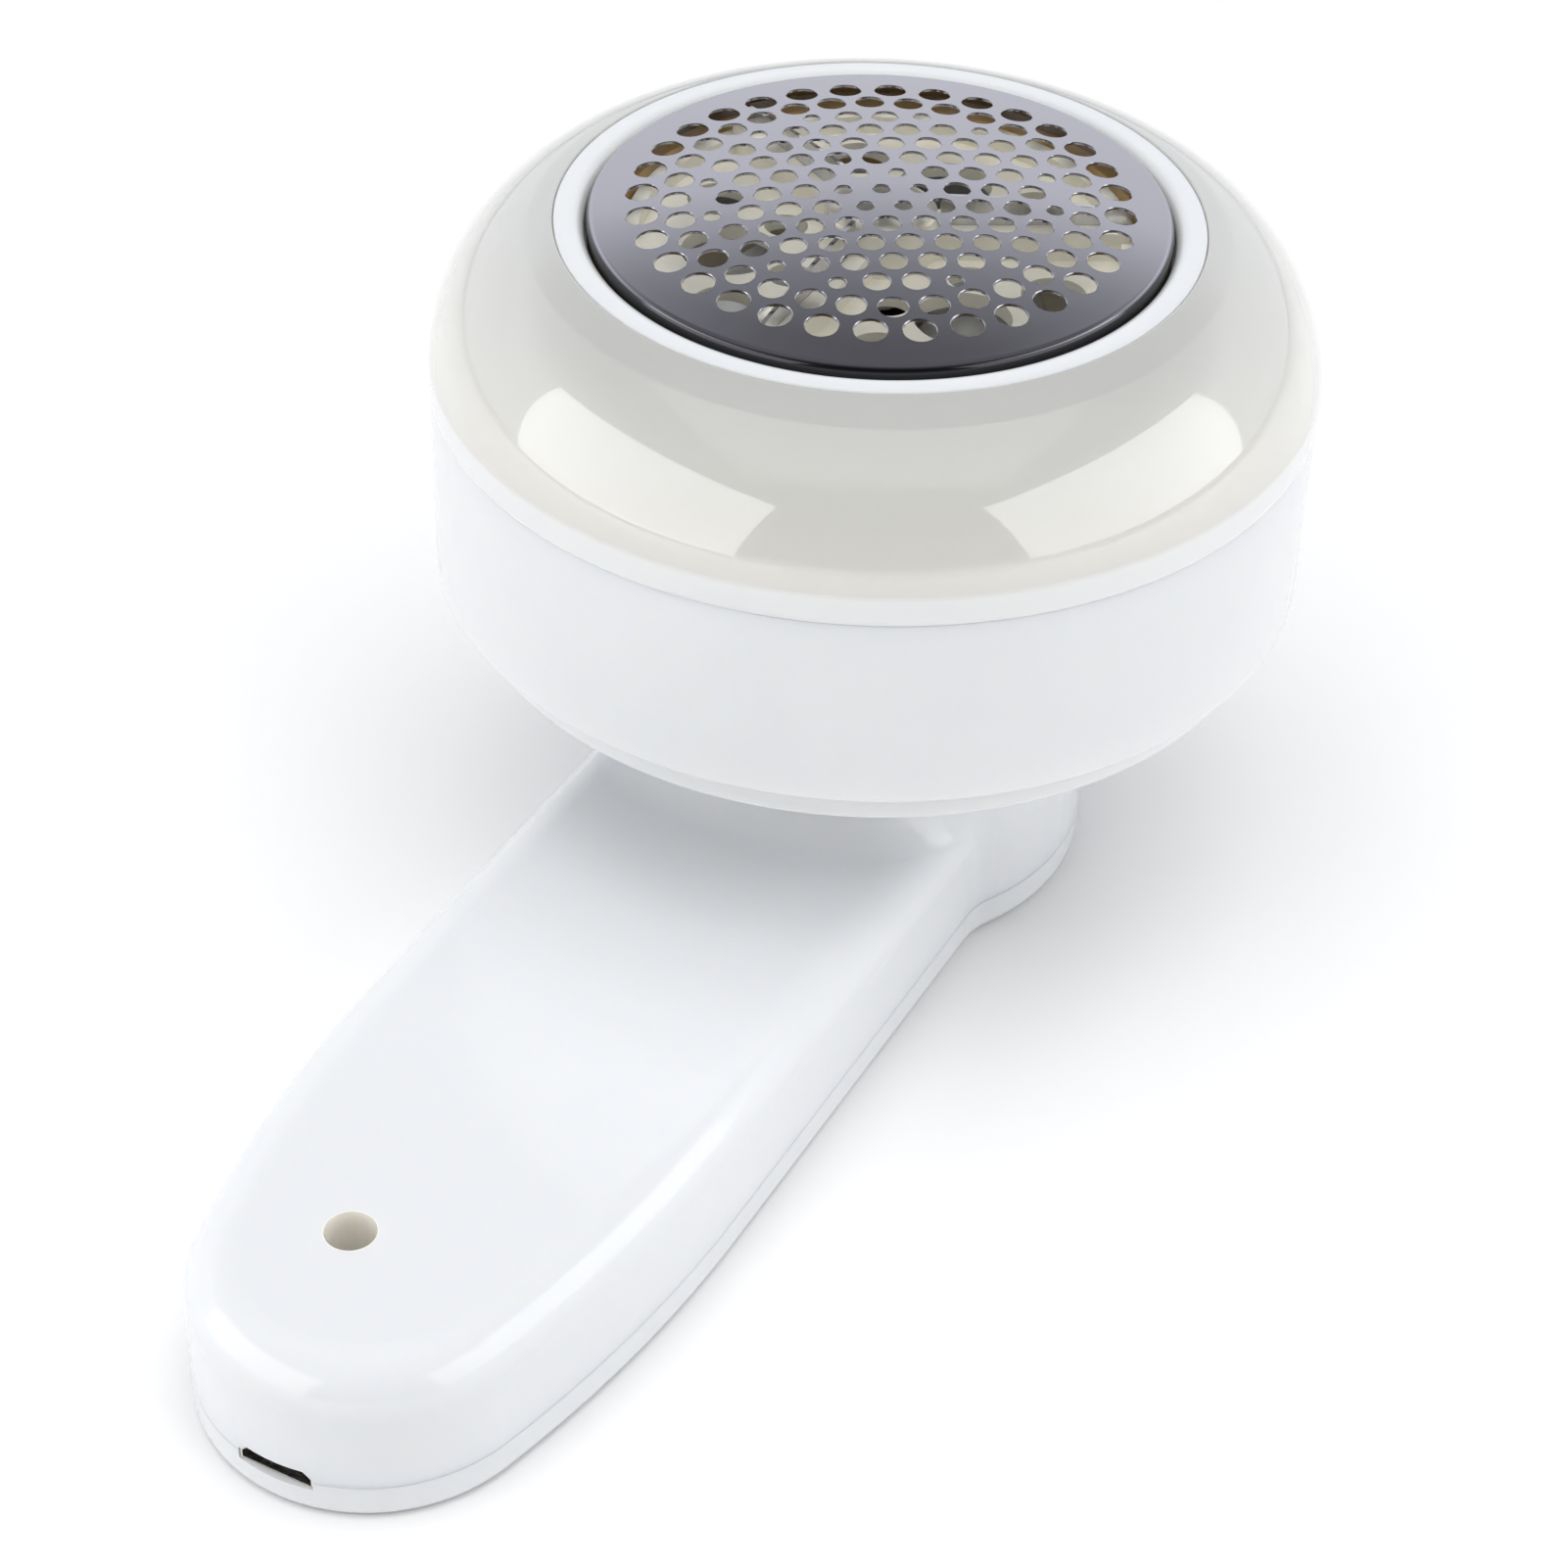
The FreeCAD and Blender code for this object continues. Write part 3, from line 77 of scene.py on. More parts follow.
class Shader:
    """A material with its node tree and short ways to add to it."""

    def __init__(self, name, roughness=0.5, **settings):
        self.material = bpy.data.materials.new(name)
        self.material.use_nodes = True
        self.tree = self.material.node_tree
        self.tree.nodes.clear()
        self.output = self.tree.nodes.new("ShaderNodeOutputMaterial")
        self.shader = self.tree.nodes.new("ShaderNodeBsdfPrincipled")
        self.link(self.shader.outputs["BSDF"], self.output.inputs["Surface"])
        self.set(Roughness=roughness, **settings)

    def set(self, **values):
        """Set input sockets of the surface shader, named with _ for each space."""
        for name, value in values.items():
            self.shader.inputs[name.replace("_", " ")].default_value = value

    def link(self, output, target):
        """Connect an output socket to an input socket."""
        self.tree.links.new(output, target)

    def node(self, kind, **values):
        """Add a node; values name its input sockets or its properties."""
        item = self.tree.nodes.new("ShaderNode" + kind)
        for name, value in values.items():
            if hasattr(item, name):
                setattr(item, name, value)
            else:
                item.inputs[name.replace("_", " ")].default_value = value
        return item

    def coordinates(self, scale=(1, 1, 1)):
        """Object coordinates in metres times scale."""
        place = self.node("TexCoord")
        mapping = self.node("Mapping")
        mapping.inputs["Scale"].default_value = scale
        self.link(place.outputs["Object"], mapping.inputs["Vector"])
        return mapping.outputs["Vector"]

    def noise(self, scale, detail=3.0, stretch=(1, 1, 1)):
        """Noise field whose feature size is 1 / scale metres."""
        item = self.node("TexNoise", Scale=scale, Detail=detail)
        self.link(self.coordinates(stretch), item.inputs["Vector"])
        return item.outputs["Fac"]

    def ramp(self, source, low, high, first, last):
        """Colour between first and last as the source goes from low to high."""
        item = self.node("ValToRGB")
        item.color_ramp.elements[0].position = low
        item.color_ramp.elements[1].position = high
        item.color_ramp.elements[0].color = (*first, 1)
        item.color_ramp.elements[1].color = (*last, 1)
        self.link(source, item.inputs["Fac"])
        return item.outputs["Color"]

    def spread(self, source, low, high):
        """The source's 0 to 1 mapped onto low to high."""
        item = self.node("MapRange")
        item.inputs["To Min"].default_value = low
        item.inputs["To Max"].default_value = high
        self.link(source, item.inputs["Value"])
        return item.outputs["Result"]

    def bump(self, height, strength, distance):
        """Relief from a height field; distance is its depth in metres."""
        item = self.node("Bump", Strength=strength, Distance=distance)
        self.link(height, item.inputs["Height"])
        self.link(item.outputs["Normal"], self.shader.inputs["Normal"])


def moulded_plastic(name, first, last, roughness, texture=900.0, depth=0.00001, **settings):
    """Moulded plastic: slight tone drift, roughness patches, and a fine mould texture."""
    shader = Shader(name, **settings)
    drift = shader.noise(28.0, 2.0)
    shader.link(shader.ramp(drift, 0.35, 0.65, first, last), shader.shader.inputs["Base Color"])
    patches = shader.noise(160.0, 4.0)
    shader.link(shader.spread(patches, roughness * 0.82, roughness * 1.25),
                shader.shader.inputs["Roughness"])
    shader.bump(shader.noise(texture, 2.0), 0.35, depth)
    return shader.material


def housing_plastic(name, well, well_radius, **settings):
    """The white plastic, with painted light inside the screw well: a lighter, warmer colour for light glowing
    through the translucent wall.
    """
    edge_outer, edge_inner = well_radius + 0.00012, well_radius + 0.00004
    shader = Shader(name, **settings)
    distance = shader.node("VectorMath", operation="DISTANCE")
    shader.link(shader.coordinates((1, 1, 0)), distance.inputs[0])
    distance.inputs[1].default_value = (*well, 0)
    inside = shader.node("MapRange")
    inside.inputs["From Min"].default_value = edge_outer
    inside.inputs["From Max"].default_value = edge_inner
    shader.link(distance.outputs["Value"], inside.inputs["Value"])
    # painted light: inside the well radius the colour turns lighter and warmer, for light glowing through the
    # plastic
    shader.link(shader.ramp(inside.outputs["Result"], 0.0, 1.0, (0.745, 0.754, 0.762), (0.97, 0.93, 0.84)),
                shader.shader.inputs["Base Color"])
    shader.link(shader.spread(shader.noise(160.0, 4.0), 0.10, 0.15), shader.shader.inputs["Roughness"])
    shader.bump(shader.noise(900.0, 2.0), 0.35, 0.00001)
    return shader.material


def turned_metal(name, first, last, roughness, grain=(1, 1, 1)):
    """Worked metal: tone drift with a stretched grain in colour, roughness and relief."""
    scale, depth = 1500.0, 0.000004
    shader = Shader(name, Metallic=1.0)
    line = shader.noise(scale, 4.0, grain)
    shader.link(shader.ramp(line, 0.3, 0.7, first, last), shader.shader.inputs["Base Color"])
    shader.link(shader.spread(shader.noise(scale * 0.5, 3.0, grain), roughness * 0.7, roughness * 1.4),
                shader.shader.inputs["Roughness"])
    shader.bump(line, 0.3, depth)
    return shader.material


def opal_plastic(name):
    """Milky translucent dome plastic: clear enough to sense the inside, denser at the lower rim, with painted
    light in its colour.
    """
    shader = Shader(name, IOR=1.49, Coat_Weight=1.0, Coat_Roughness=0.02, Coat_IOR=1.75)
    parts = shader.node("SeparateXYZ")
    shader.link(shader.coordinates(), parts.inputs["Vector"])
    rim_low, rim_high, crown = 0.0600, 0.0606, 0.0742

    def height_share(low, high):
        """Share of the way from low to high, in metres over the flat back."""
        item = shader.node("MapRange")
        item.inputs["From Min"].default_value = low
        item.inputs["From Max"].default_value = high
        shader.link(parts.outputs["Z"], item.inputs["Value"])
        return item.outputs["Result"]

    above_rim = height_share(rim_low, rim_high)
    # painted light: the colour is brightest and warmest just above the rim, where light is piped into the
    # thick wall, and falls darker towards the crown
    color = shader.ramp(height_share(rim_low, crown), 0.0, 1.0, (0.86, 0.87, 0.865), (0.80, 0.805, 0.775))
    body = color.node.color_ramp.elements.new(0.045)
    body.color = (1.0, 0.98, 0.915, 1)
    shader.link(color, shader.shader.inputs["Base Color"])
    shader.link(shader.spread(above_rim, 0.16, 0.42), shader.shader.inputs["Transmission Weight"])
    shader.link(shader.spread(shader.noise(140.0, 3.0), 0.07, 0.11), shader.shader.inputs["Roughness"])
    shader.bump(shader.noise(700.0, 2.0), 0.2, 0.000004)
    return shader.material


def foil_steel(name):
    """Polished foil: faint grain, with a painted dark reflection on the rounded edge outside the flat of the
    sheet.
    """
    edge_start, edge_full = 0.0285, 0.0287
    shader = Shader(name, Metallic=1.0)
    distance = shader.node("VectorMath", operation="LENGTH")
    shader.link(shader.coordinates((1, 1, 0)), distance.inputs[0])
    edge = shader.node("MapRange")
    edge.inputs["From Min"].default_value = edge_start
    edge.inputs["From Max"].default_value = edge_full
    shader.link(distance.outputs["Value"], edge.inputs["Value"])
    # painted reflection: past the flat of the sheet the colour goes near black, as if the rounded edge
    # mirrored a dark room all round
    shader.link(shader.ramp(edge.outputs["Result"], 0.0, 1.0, (0.50, 0.49, 0.54), (0.06, 0.06, 0.065)),
                shader.shader.inputs["Base Color"])
    grain = shader.noise(2400.0, 3.0, (1.0, 0.08, 1.0))
    shader.link(shader.spread(grain, 0.10, 0.15), shader.shader.inputs["Roughness"])
    shader.bump(grain, 0.12, 0.000002)
    return shader.material


WHITE_FINISH = dict(Coat_Weight=0.25, Coat_Roughness=0.05, IOR=1.53, Subsurface_Weight=0.35,
                    Subsurface_Scale=0.004, Subsurface_Radius=(1.0, 0.85, 0.6))


def make_materials():
    """Every finish, by the record's material slot."""
    return {
        "white_plastic": moulded_plastic("white_abs", (0.735, 0.745, 0.755), (0.755, 0.763, 0.768), 0.12,
                                         **WHITE_FINISH),
        "dome_plastic": opal_plastic("opal_dome"),
        "foil_steel": foil_steel("polished_foil"),
        "blade_steel": turned_metal("ground_blade", (0.60, 0.60, 0.62), (0.74, 0.74, 0.75), 0.22,
                                    grain=(1.0, 1.0, 0.1)),
        "cream_plastic": moulded_plastic("cream_plastic", (0.96, 0.93, 0.80), (0.985, 0.96, 0.86), 0.34),
        # painted light: this amber stands in for warm light bounced between the cream parts deep inside the
        # head
        "amber_plastic": moulded_plastic("amber_plastic", (0.92, 0.58, 0.20), (0.98, 0.68, 0.30), 0.24,
                                         Coat_Weight=0.2),
        "black_plastic": moulded_plastic("black_plastic", (0.012, 0.012, 0.013), (0.022, 0.022, 0.024),
                                         0.42),
        "button_plastic": moulded_plastic("button_plastic", (0.60, 0.62, 0.64), (0.66, 0.68, 0.69), 0.28),
        "screw_steel": turned_metal("zinc_screw", (0.55, 0.55, 0.57), (0.70, 0.70, 0.71), 0.30),
        "motor_steel": turned_metal("drawn_can", (0.50, 0.51, 0.53), (0.62, 0.62, 0.64), 0.28,
                                    grain=(1.0, 1.0, 0.08)),
        "spring_steel": turned_metal("spring_wire", (0.50, 0.50, 0.52), (0.64, 0.64, 0.66), 0.26),
        "bronze": turned_metal("sintered_bronze", (0.45, 0.27, 0.12), (0.60, 0.40, 0.20), 0.42),
        "copper": turned_metal("wound_copper", (0.52, 0.20, 0.09), (0.74, 0.36, 0.20), 0.34,
                               grain=(1.0, 1.0, 6.0)),
        "nickel": turned_metal("nickel", (0.58, 0.56, 0.52), (0.70, 0.68, 0.64), 0.25),
        "ferrite": moulded_plastic("ferrite", (0.030, 0.030, 0.032), (0.055, 0.055, 0.058), 0.6),
        "cell_wrap": moulded_plastic("cell_wrap", (0.02, 0.12, 0.30), (0.03, 0.16, 0.36), 0.25),
        "board_green": moulded_plastic("solder_mask", (0.008, 0.075, 0.03), (0.014, 0.11, 0.045), 0.3),
        "rubber_seal": moulded_plastic("rubber_seal", (0.015, 0.015, 0.016), (0.028, 0.028, 0.03), 0.7),
        "felt": moulded_plastic("felt", (0.48, 0.46, 0.40), (0.60, 0.57, 0.50), 0.95, 2500.0, 0.0001),
        "lead_cover": moulded_plastic("lead_cover", (0.42, 0.015, 0.012), (0.50, 0.025, 0.02), 0.4),
        "window_clear": moulded_plastic("light_window", (0.80, 0.86, 0.88), (0.86, 0.90, 0.92), 0.12,
                                        Transmission_Weight=0.6),
        "lamp": moulded_plastic("lamp_body", (0.84, 0.80, 0.60), (0.90, 0.87, 0.70), 0.3),
    }


materials = make_materials()
WELL_PLACE, WELL_RADIUS = (-0.0023, -0.096), 0.00245
SLOT_OF = {entry["node"]: entry["material_slot"] for entry in frame["record"]["subparts"]}


def dress(item, slot):
    """Give an object the one material of this slot."""
    item.data.materials.clear()
    item.data.materials.append(materials[slot])


for name, item in nodes.items():
    dress(item, SLOT_OF[name])
housing = housing_plastic("housing_abs", WELL_PLACE, WELL_RADIUS, **WHITE_FINISH)
nodes["main_housing"].data.materials[0] = housing


# ---------------------------------------------------------------- mesh helpers

def add_mesh(name, mesh, slot, body, *replaced):
    """Link a finished mesh as a piece that rides on a body in place of CAD nodes."""
    sharp_angle = 35
    item = bpy.data.objects.new(name, mesh)
    scene.collection.objects.link(item)
    dress(item, slot)
    mesh.shade_smooth()
    mesh.set_sharp_from_angle(angle=math.radians(sharp_angle))
    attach(item, body)
    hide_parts(*replaced)
    return item


def arc(centre, radius, start, end, steps):
    """Points of an arc in the (r, z) plane, angles in degrees."""
    return [
        (centre[0] + radius * math.cos(math.radians(start + (end - start) * index / steps)),
         centre[1] + radius * math.sin(math.radians(start + (end - start) * index / steps)))
        for index in range(steps + 1)
    ]


def softened(points, radius, steps):
    """A closed outline with each sharp corner turned into a small arc of about this radius."""
    smooth_turn = math.radians(155)
    longest_share = 0.45
    result = []
    count = len(points)
    for index, point in enumerate(points):
        here = Vector(point)
        before = Vector(points[index - 1]) - here
        after = Vector(points[(index + 1) % count]) - here
        turn = before.angle(after, math.pi)
        if turn > smooth_turn:
            result.append(point)
            continue
        reach = min(radius, longest_share * before.length, longest_share * after.length)
        first, last = here + before.normalized() * reach, here + after.normalized() * reach
        for step in range(steps + 1):
            share = step / steps
            result.append(tuple(first * (1 - share) ** 2 + here * 2 * share * (1 - share)
                                + last * share ** 2))
    return result


def lathe_into(form, outline):
    """Turn a closed (r, z) outline in millimetres round the Z axis into the bmesh."""
    rings = []
    for step in range(TURN_STEPS):
        angle = 2 * math.pi * step / TURN_STEPS
        rings.append([
            form.verts.new((r * MM * math.cos(angle), r * MM * math.sin(angle), z * MM))
            for r, z in outline
        ])
    count = len(outline)
    for step in range(TURN_STEPS):
        here, there = rings[step], rings[(step + 1) % TURN_STEPS]
        for index in range(count):
            following = (index + 1) % count
            form.faces.new((here[index], there[index], there[following], here[following]))


def mesh_from(form, name):
    """Mesh of a finished bmesh, with its doubled points merged and its faces turned outwards."""
    bmesh.ops.remove_doubles(form, verts=form.verts, dist=1e-7)
    bmesh.ops.recalc_face_normals(form, faces=form.faces)
    mesh = bpy.data.meshes.new(name)
    form.to_mesh(mesh)
    form.free()
    return mesh


# ---------------------------------------------------------------- lint dome and head bowl

def node_span(name):
    """Outer radius, lowest and highest z of a round node, in millimetres."""
    low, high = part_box(name)
    return high[0] / MM, low[2] / MM, high[2] / MM


def make_dome():
    """Lint dome: rolled outer curve, inner wall, collar for the foil ring, and spigot."""
    radius, low, _ = node_span("lint_dome")
    curve, wall, seam = 17.0, 2.2, 57.4
    centre = (radius - curve, 58.0)
    collar_inner, collar_outer, collar_low = 32.15, 34.3, 64.0
    spigot_outer, spigot_inner, shelf = 42.3, 40.3, 59.2
    edge, edge_cut, spigot_cut = 0.2, 0.06, 0.4

    def angle_at(arc_radius, r):
        """Angle in degrees at which an arc round the centre reaches this distance from the axis."""
        return math.degrees(math.acos((r - centre[0]) / arc_radius))

    inner = curve - wall
    top = angle_at(curve, collar_inner + edge)
    shelf_angle = math.degrees(math.asin((shelf - centre[1]) / inner))
    outline = [(radius - edge, seam), (radius - edge_cut, seam + edge_cut), (radius, seam + edge)]
    outline += arc(centre, curve, 0, top, 40)
    crown = outline[-1]
    outline += [(collar_inner + edge_cut, crown[1] - edge_cut), (collar_inner, crown[1] - edge)]
    outline += [(collar_inner, collar_low), (collar_outer, collar_low)]
    outline += arc(centre, inner, angle_at(inner, collar_outer), shelf_angle, 28)
    outline += [(spigot_inner, shelf), (spigot_inner, low + spigot_cut), (spigot_inner + spigot_cut, low),
                (spigot_outer - spigot_cut, low), (spigot_outer, low + spigot_cut), (spigot_outer, seam)]
    form = bmesh.new()
    lathe_into(form, outline)
    add_mesh("dome_shell", mesh_from(form, "dome_shell"), "dome_plastic", "dome", "lint_dome")


def upright(form, x, y, radius, low, high):
    """Closed upright cylinder with its centre at x, y, in millimetres."""
    steps = 32
    matrix = Matrix.Translation((x * MM, y * MM, (low + high) / 2 * MM))
    bmesh.ops.create_cone(form, cap_ends=True, segments=steps, radius1=radius * MM, radius2=radius * MM,
                          depth=(high - low) * MM, matrix=matrix)


BOSS_RADIUS, BOSS_TOP = 2.9, 44.0


def head_screw_places():
    """Centres of the three screws round the motor tower, in millimetres."""
    circle_radius = 17.6
    return [(circle_radius * math.cos(math.radians(angle)), circle_radius * math.sin(math.radians(angle)))
            for angle in (90, 210, 330)]


def make_bowl():
    """Head bowl: band with a soft lower edge, floor, motor tower and three screw bosses."""
    radius, low, tower_top = node_span("head_bowl")
    band_top, wall, floor_top = 57.36, 2.2, low + 2.0
    tower, bore, roof_low, hole = 17.0, 14.4, tower_top - 1.8, 5.3
    edge, sunk = 0.2, 0.3
    outline = softened([
        (bore, low), (radius, low), (radius, band_top), (radius - wall, band_top),
        (radius - wall, floor_top), (tower, floor_top), (tower, tower_top),
        (hole, tower_top), (hole, roof_low), (bore, roof_low),
    ], edge, 5)
    form = bmesh.new()
    lathe_into(form, outline)
    for x, y in head_screw_places():
        upright(form, x, y, BOSS_RADIUS, floor_top - sunk, BOSS_TOP)
    add_mesh("bowl_shell", mesh_from(form, "bowl_shell"), "white_plastic", "handle_body", "head_bowl")


def make_base_pan():
    """Pan under the bowl, with three screw bosses and a hole for the motor."""
    radius, low, high = node_span("base_plate")
    wall, passage, edge, sunk = 2.0, 14.1, 0.5, 0.2
    outline = softened([
        (passage, low), (radius, low), (radius, high), (radius - wall, high),
        (radius - wall, low + wall), (passage, low + wall),
    ], edge, 4)
    form = bmesh.new()
    lathe_into(form, outline)
    for x, y in head_screw_places():
        upright(form, x, y, BOSS_RADIUS, low + wall - sunk, high)
    add_mesh("base_pan", mesh_from(form, "base_pan"), "white_plastic", "handle_body", "base_plate")


make_dome()
make_bowl()
make_base_pan()


# ---------------------------------------------------------------- foil ring and foil

def make_ring():
    """White retainer: rounded rim, and the ledge that holds the foil's flange."""
    _, low, high = node_span("foil_ring")
    outer, bore, inner, ledge, rim, outer_rim = 32.11, 30.75, 29.05, 72.3, 1.4, 0.3
    outline = [(bore, low), (outer, low)]
    outline += arc((outer - outer_rim, high - outer_rim), outer_rim, 0, 90, 5)
    outline += arc((inner + rim, high - rim), rim, 90, 180, 10)
    outline += [(inner, ledge), (bore, ledge)]
    form = bmesh.new()
    lathe_into(form, outline)
    add_mesh("ring_shell", mesh_from(form, "ring_shell"), "white_plastic", "foil_ring", "foil_ring")


def hole_places():
    """Foil holes as (x, y, radius): a triangular field inside two circles of holes."""
    pitch, small, large, rings, turn = 3.72, 0.85, 1.325, 5, 2.0
    places = []
    for along in range(-rings, rings + 1):
        for across in range(-rings, rings + 1):
            distances = sorted(abs(step) for step in (along, across, along + across))
            ring, second = distances[2], distances[1]
            if ring > rings or second == rings:
                continue
            is_small = ring <= 1 or (ring == rings and second == rings - 1)
            places.append((across * pitch * math.cos(math.radians(30)),
                           pitch * (along + across / 2), small if is_small else large))
    count = 32
    for circle_radius, hole, stagger in ((20.05, 1.45, 0.5), (23.5, 1.6, 0)):
        for index in range(count):
            angle = math.radians(90 + (index + stagger) * 360 / count)
            places.append((circle_radius * math.cos(angle), circle_radius * math.sin(angle), hole))
    swing = Matrix.Rotation(math.radians(turn), 2)
    return [(*(swing @ Vector((x, y))), radius) for x, y, radius in places]


def make_foil():
    """Pierced steel foil: one shallow dome with bevelled holes, rounded edge, skirt and flange."""
    _, low, crown = node_span("foil")
    radius, edge_height, thickness, bevel, round_off = 28.86, 74.9, 0.3, 0.07, 0.7
    rise = crown - edge_height
    sphere = (radius ** 2 + rise ** 2) / (2 * rise)
    centre = crown - sphere
    rim_steps, hole_steps, edge_steps = TURN_STEPS, 28, 6
    inside_hole = math.cos(math.pi / hole_steps)
    shoulder = radius - round_off
    points, edges, holes = [], [], hole_places()

    def add_circle(x, y, size, steps):
        """Add a closed ring of points and edges, and return its first point's number."""
        start = len(points)
        for step in range(steps):
            angle = 2 * math.pi * step / steps
            points.append(Vector((x + size * math.cos(angle), y + size * math.sin(angle))))
            edges.append((start + step, start + (step + 1) % steps))
        return start

    add_circle(0, 0, shoulder, rim_steps)
    starts = [add_circle(x, y, size + bevel, hole_steps) for x, y, size in holes]
    gap, row_share, clear_of_hole, clear_of_edge = 1.1, 0.87, 0.45, 0.5
    reach = int(shoulder / gap) + 1
    for column in range(-reach, reach + 1):
        for row in range(-reach, reach + 1):
            spot = Vector(((column + 0.5 * (row % 2)) * gap, row * gap * row_share))
            clear = all((spot - Vector((x, y))).length > size + clear_of_hole for x, y, size in holes)
            if spot.length < shoulder - clear_of_edge and clear:
                points.append(spot)
    flat, _, triangles, _, _, _ = geometry.delaunay_2d_cdt(points, edges, [], 0, 1e-6)

    def lifted(point, below):
        """Place of a flat point on the dome, this far below its outer face."""
        reach_here = math.hypot(*point)
        size = sphere - below
        return point[0] * MM, point[1] * MM, (centre + math.sqrt(size ** 2 - reach_here ** 2)) * MM

    form = bmesh.new()
    upper = [form.verts.new(lifted(point, 0)) for point in flat]
    lower = [form.verts.new(lifted(point, thickness)) for point in flat]
    for triangle in triangles:
        middle = sum((flat[index] for index in triangle), Vector((0, 0))) / 3
        if any((middle - Vector((x, y))).length < (size + bevel) * inside_hole for x, y, size in holes):
            continue
        form.faces.new([upper[index] for index in triangle])
        form.faces.new([lower[index] for index in reversed(triangle)])
    for (x, y, size), start in zip(holes, starts):
        middles = []
        for depth in (bevel, thickness - bevel):
            middles.append([
                form.verts.new(lifted((x + size * math.cos(2 * math.pi * step / hole_steps),
                                       y + size * math.sin(2 * math.pi * step / hole_steps)), depth))
                for step in range(hole_steps)
            ])
        rows = [[upper[start + step] for step in range(hole_steps)], *middles,
                [lower[start + step] for step in range(hole_steps)]]
        for first, second in zip(rows, rows[1:]):
            for step in range(hole_steps):
                following = (step + 1) % hole_steps
                form.faces.new((first[step], first[following], second[following], second[step]))
    # edge, skirt and flange, from the upper face round to the lower one
    skirt_top = edge_height - round_off
    flange_top, flange_radius = low + thickness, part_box("foil")[1][0] / MM
    inside = radius - thickness
    shoulder_height = centre + math.sqrt(sphere ** 2 - shoulder ** 2)
    outline = []
    for step in range(1, edge_steps + 1):
        share = math.radians(90 * step / edge_steps)
        outline.append((shoulder + round_off * math.sin(share),
                        skirt_top + (shoulder_height - skirt_top) * math.cos(share)))
    outline += [(radius, flange_top), (flange_radius, flange_top), (flange_radius, low), (inside, low),
                (inside, skirt_top)]
    rows = []
    for step in range(rim_steps):
        angle = 2 * math.pi * step / rim_steps
        row = [upper[step]]
        row += [form.verts.new((r * MM * math.cos(angle), r * MM * math.sin(angle), z * MM))
                for r, z in outline]
        row.append(lower[step])
        rows.append(row)
    for step in range(rim_steps):
        here, there = rows[step], rows[(step + 1) % rim_steps]
        for index in range(len(here) - 1):
            form.faces.new((here[index], here[index + 1], there[index + 1], there[index]))
    add_mesh("foil_sheet", mesh_from(form, "foil_sheet"), "foil_steel", "foil_ring", "foil")


def make_spring():
    """Compression spring under the rotor, built as a fixed coil that rides with the drive."""
    near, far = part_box("cutter_spring")
    wire, turns, steps, sides, stroke = 0.25, 3, 120, 10, 0.8
    radius = far[0] / MM - wire
    low, high = near[2] / MM + wire, far[2] / MM - wire
    form = bmesh.new()
    rows = []
    for step in range(steps + 1):
        turn = 2 * math.pi * turns * step / steps
        height = low + (high - low) * step / steps
        row = []
        for side in range(sides):
            angle = 2 * math.pi * side / sides
            reach = radius + wire * math.cos(angle)
            row.append(form.verts.new((reach * MM * math.cos(turn), reach * MM * math.sin(turn),
                                       (height + wire * math.sin(angle)) * MM)))
        rows.append(row)
    for here, there in zip(rows, rows[1:]):
        for side in range(sides):
            following = (side + 1) % sides
            form.faces.new((here[side], there[side], there[following], here[following]))
    form.faces.new(rows[0])
    form.faces.new(rows[-1])
    spring = add_mesh("spring_coil", mesh_from(form, "spring_coil"), "spring_steel", "drive",
                      "cutter_spring")
    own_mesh(spring)


make_ring()
make_foil()
make_spring()


# ---------------------------------------------------------------- studio

def make_floor():
    """Large flat pale floor just under the shaver."""
    half_width, drop = 6.0, 0.0002
    form = bmesh.new()
    bmesh.ops.create_grid(form, x_segments=1, y_segments=1, size=half_width)
    mesh = bpy.data.meshes.new("floor")
    form.to_mesh(mesh)
    form.free()
    floor = bpy.data.objects.new("floor", mesh)
    floor.location.z = cad_box[0][2] - drop
    scene.collection.objects.link(floor)
    shader = Shader("pale_floor", roughness=0.7)
    shader.link(shader.ramp(shader.noise(3.0, 2.0), 0.3, 0.7, (0.87, 0.87, 0.87), (0.885, 0.885, 0.885)),
                shader.shader.inputs["Base Color"])
    floor.data.materials.append(shader.material)


def view_axes(azimuth, elevation, roll=0.0):
    """Right, up and backward directions of a view in degrees."""
    azimuth, elevation, roll = (math.radians(angle) for angle in (azimuth, elevation, roll))
    spin = Matrix.Rotation(azimuth, 3, "Z")
    back = spin @ Vector((0, -math.cos(elevation), math.sin(elevation)))
    right = spin @ Vector((1, 0, 0))
    up = back.cross(right)
    tilted_right = right * math.cos(roll) + up * math.sin(roll)
    tilted_up = up * math.cos(roll) - right * math.sin(roll)
    return tilted_right, tilted_up, back


VIEW_AZIMUTH = 27.0
HEAD_CENTRE = Vector((0, 0, 0.057))


def add_softbox(name, azimuth, elevation, distance, size, power):
    """Rectangular softbox aimed at the head; its azimuth is counted from the camera's."""
    data = bpy.data.lights.new(name, "AREA")
    data.shape = "RECTANGLE"
    data.size, data.size_y = size
    data.energy = power
    item = bpy.data.objects.new(name, data)
    right, up, back = view_axes(VIEW_AZIMUTH + azimuth, elevation)
    item.matrix_world = Matrix.Translation(HEAD_CENTRE + back * distance) @ Matrix(
        (right, up, back)).transposed().to_4x4()
    scene.collection.objects.link(item)
    return item


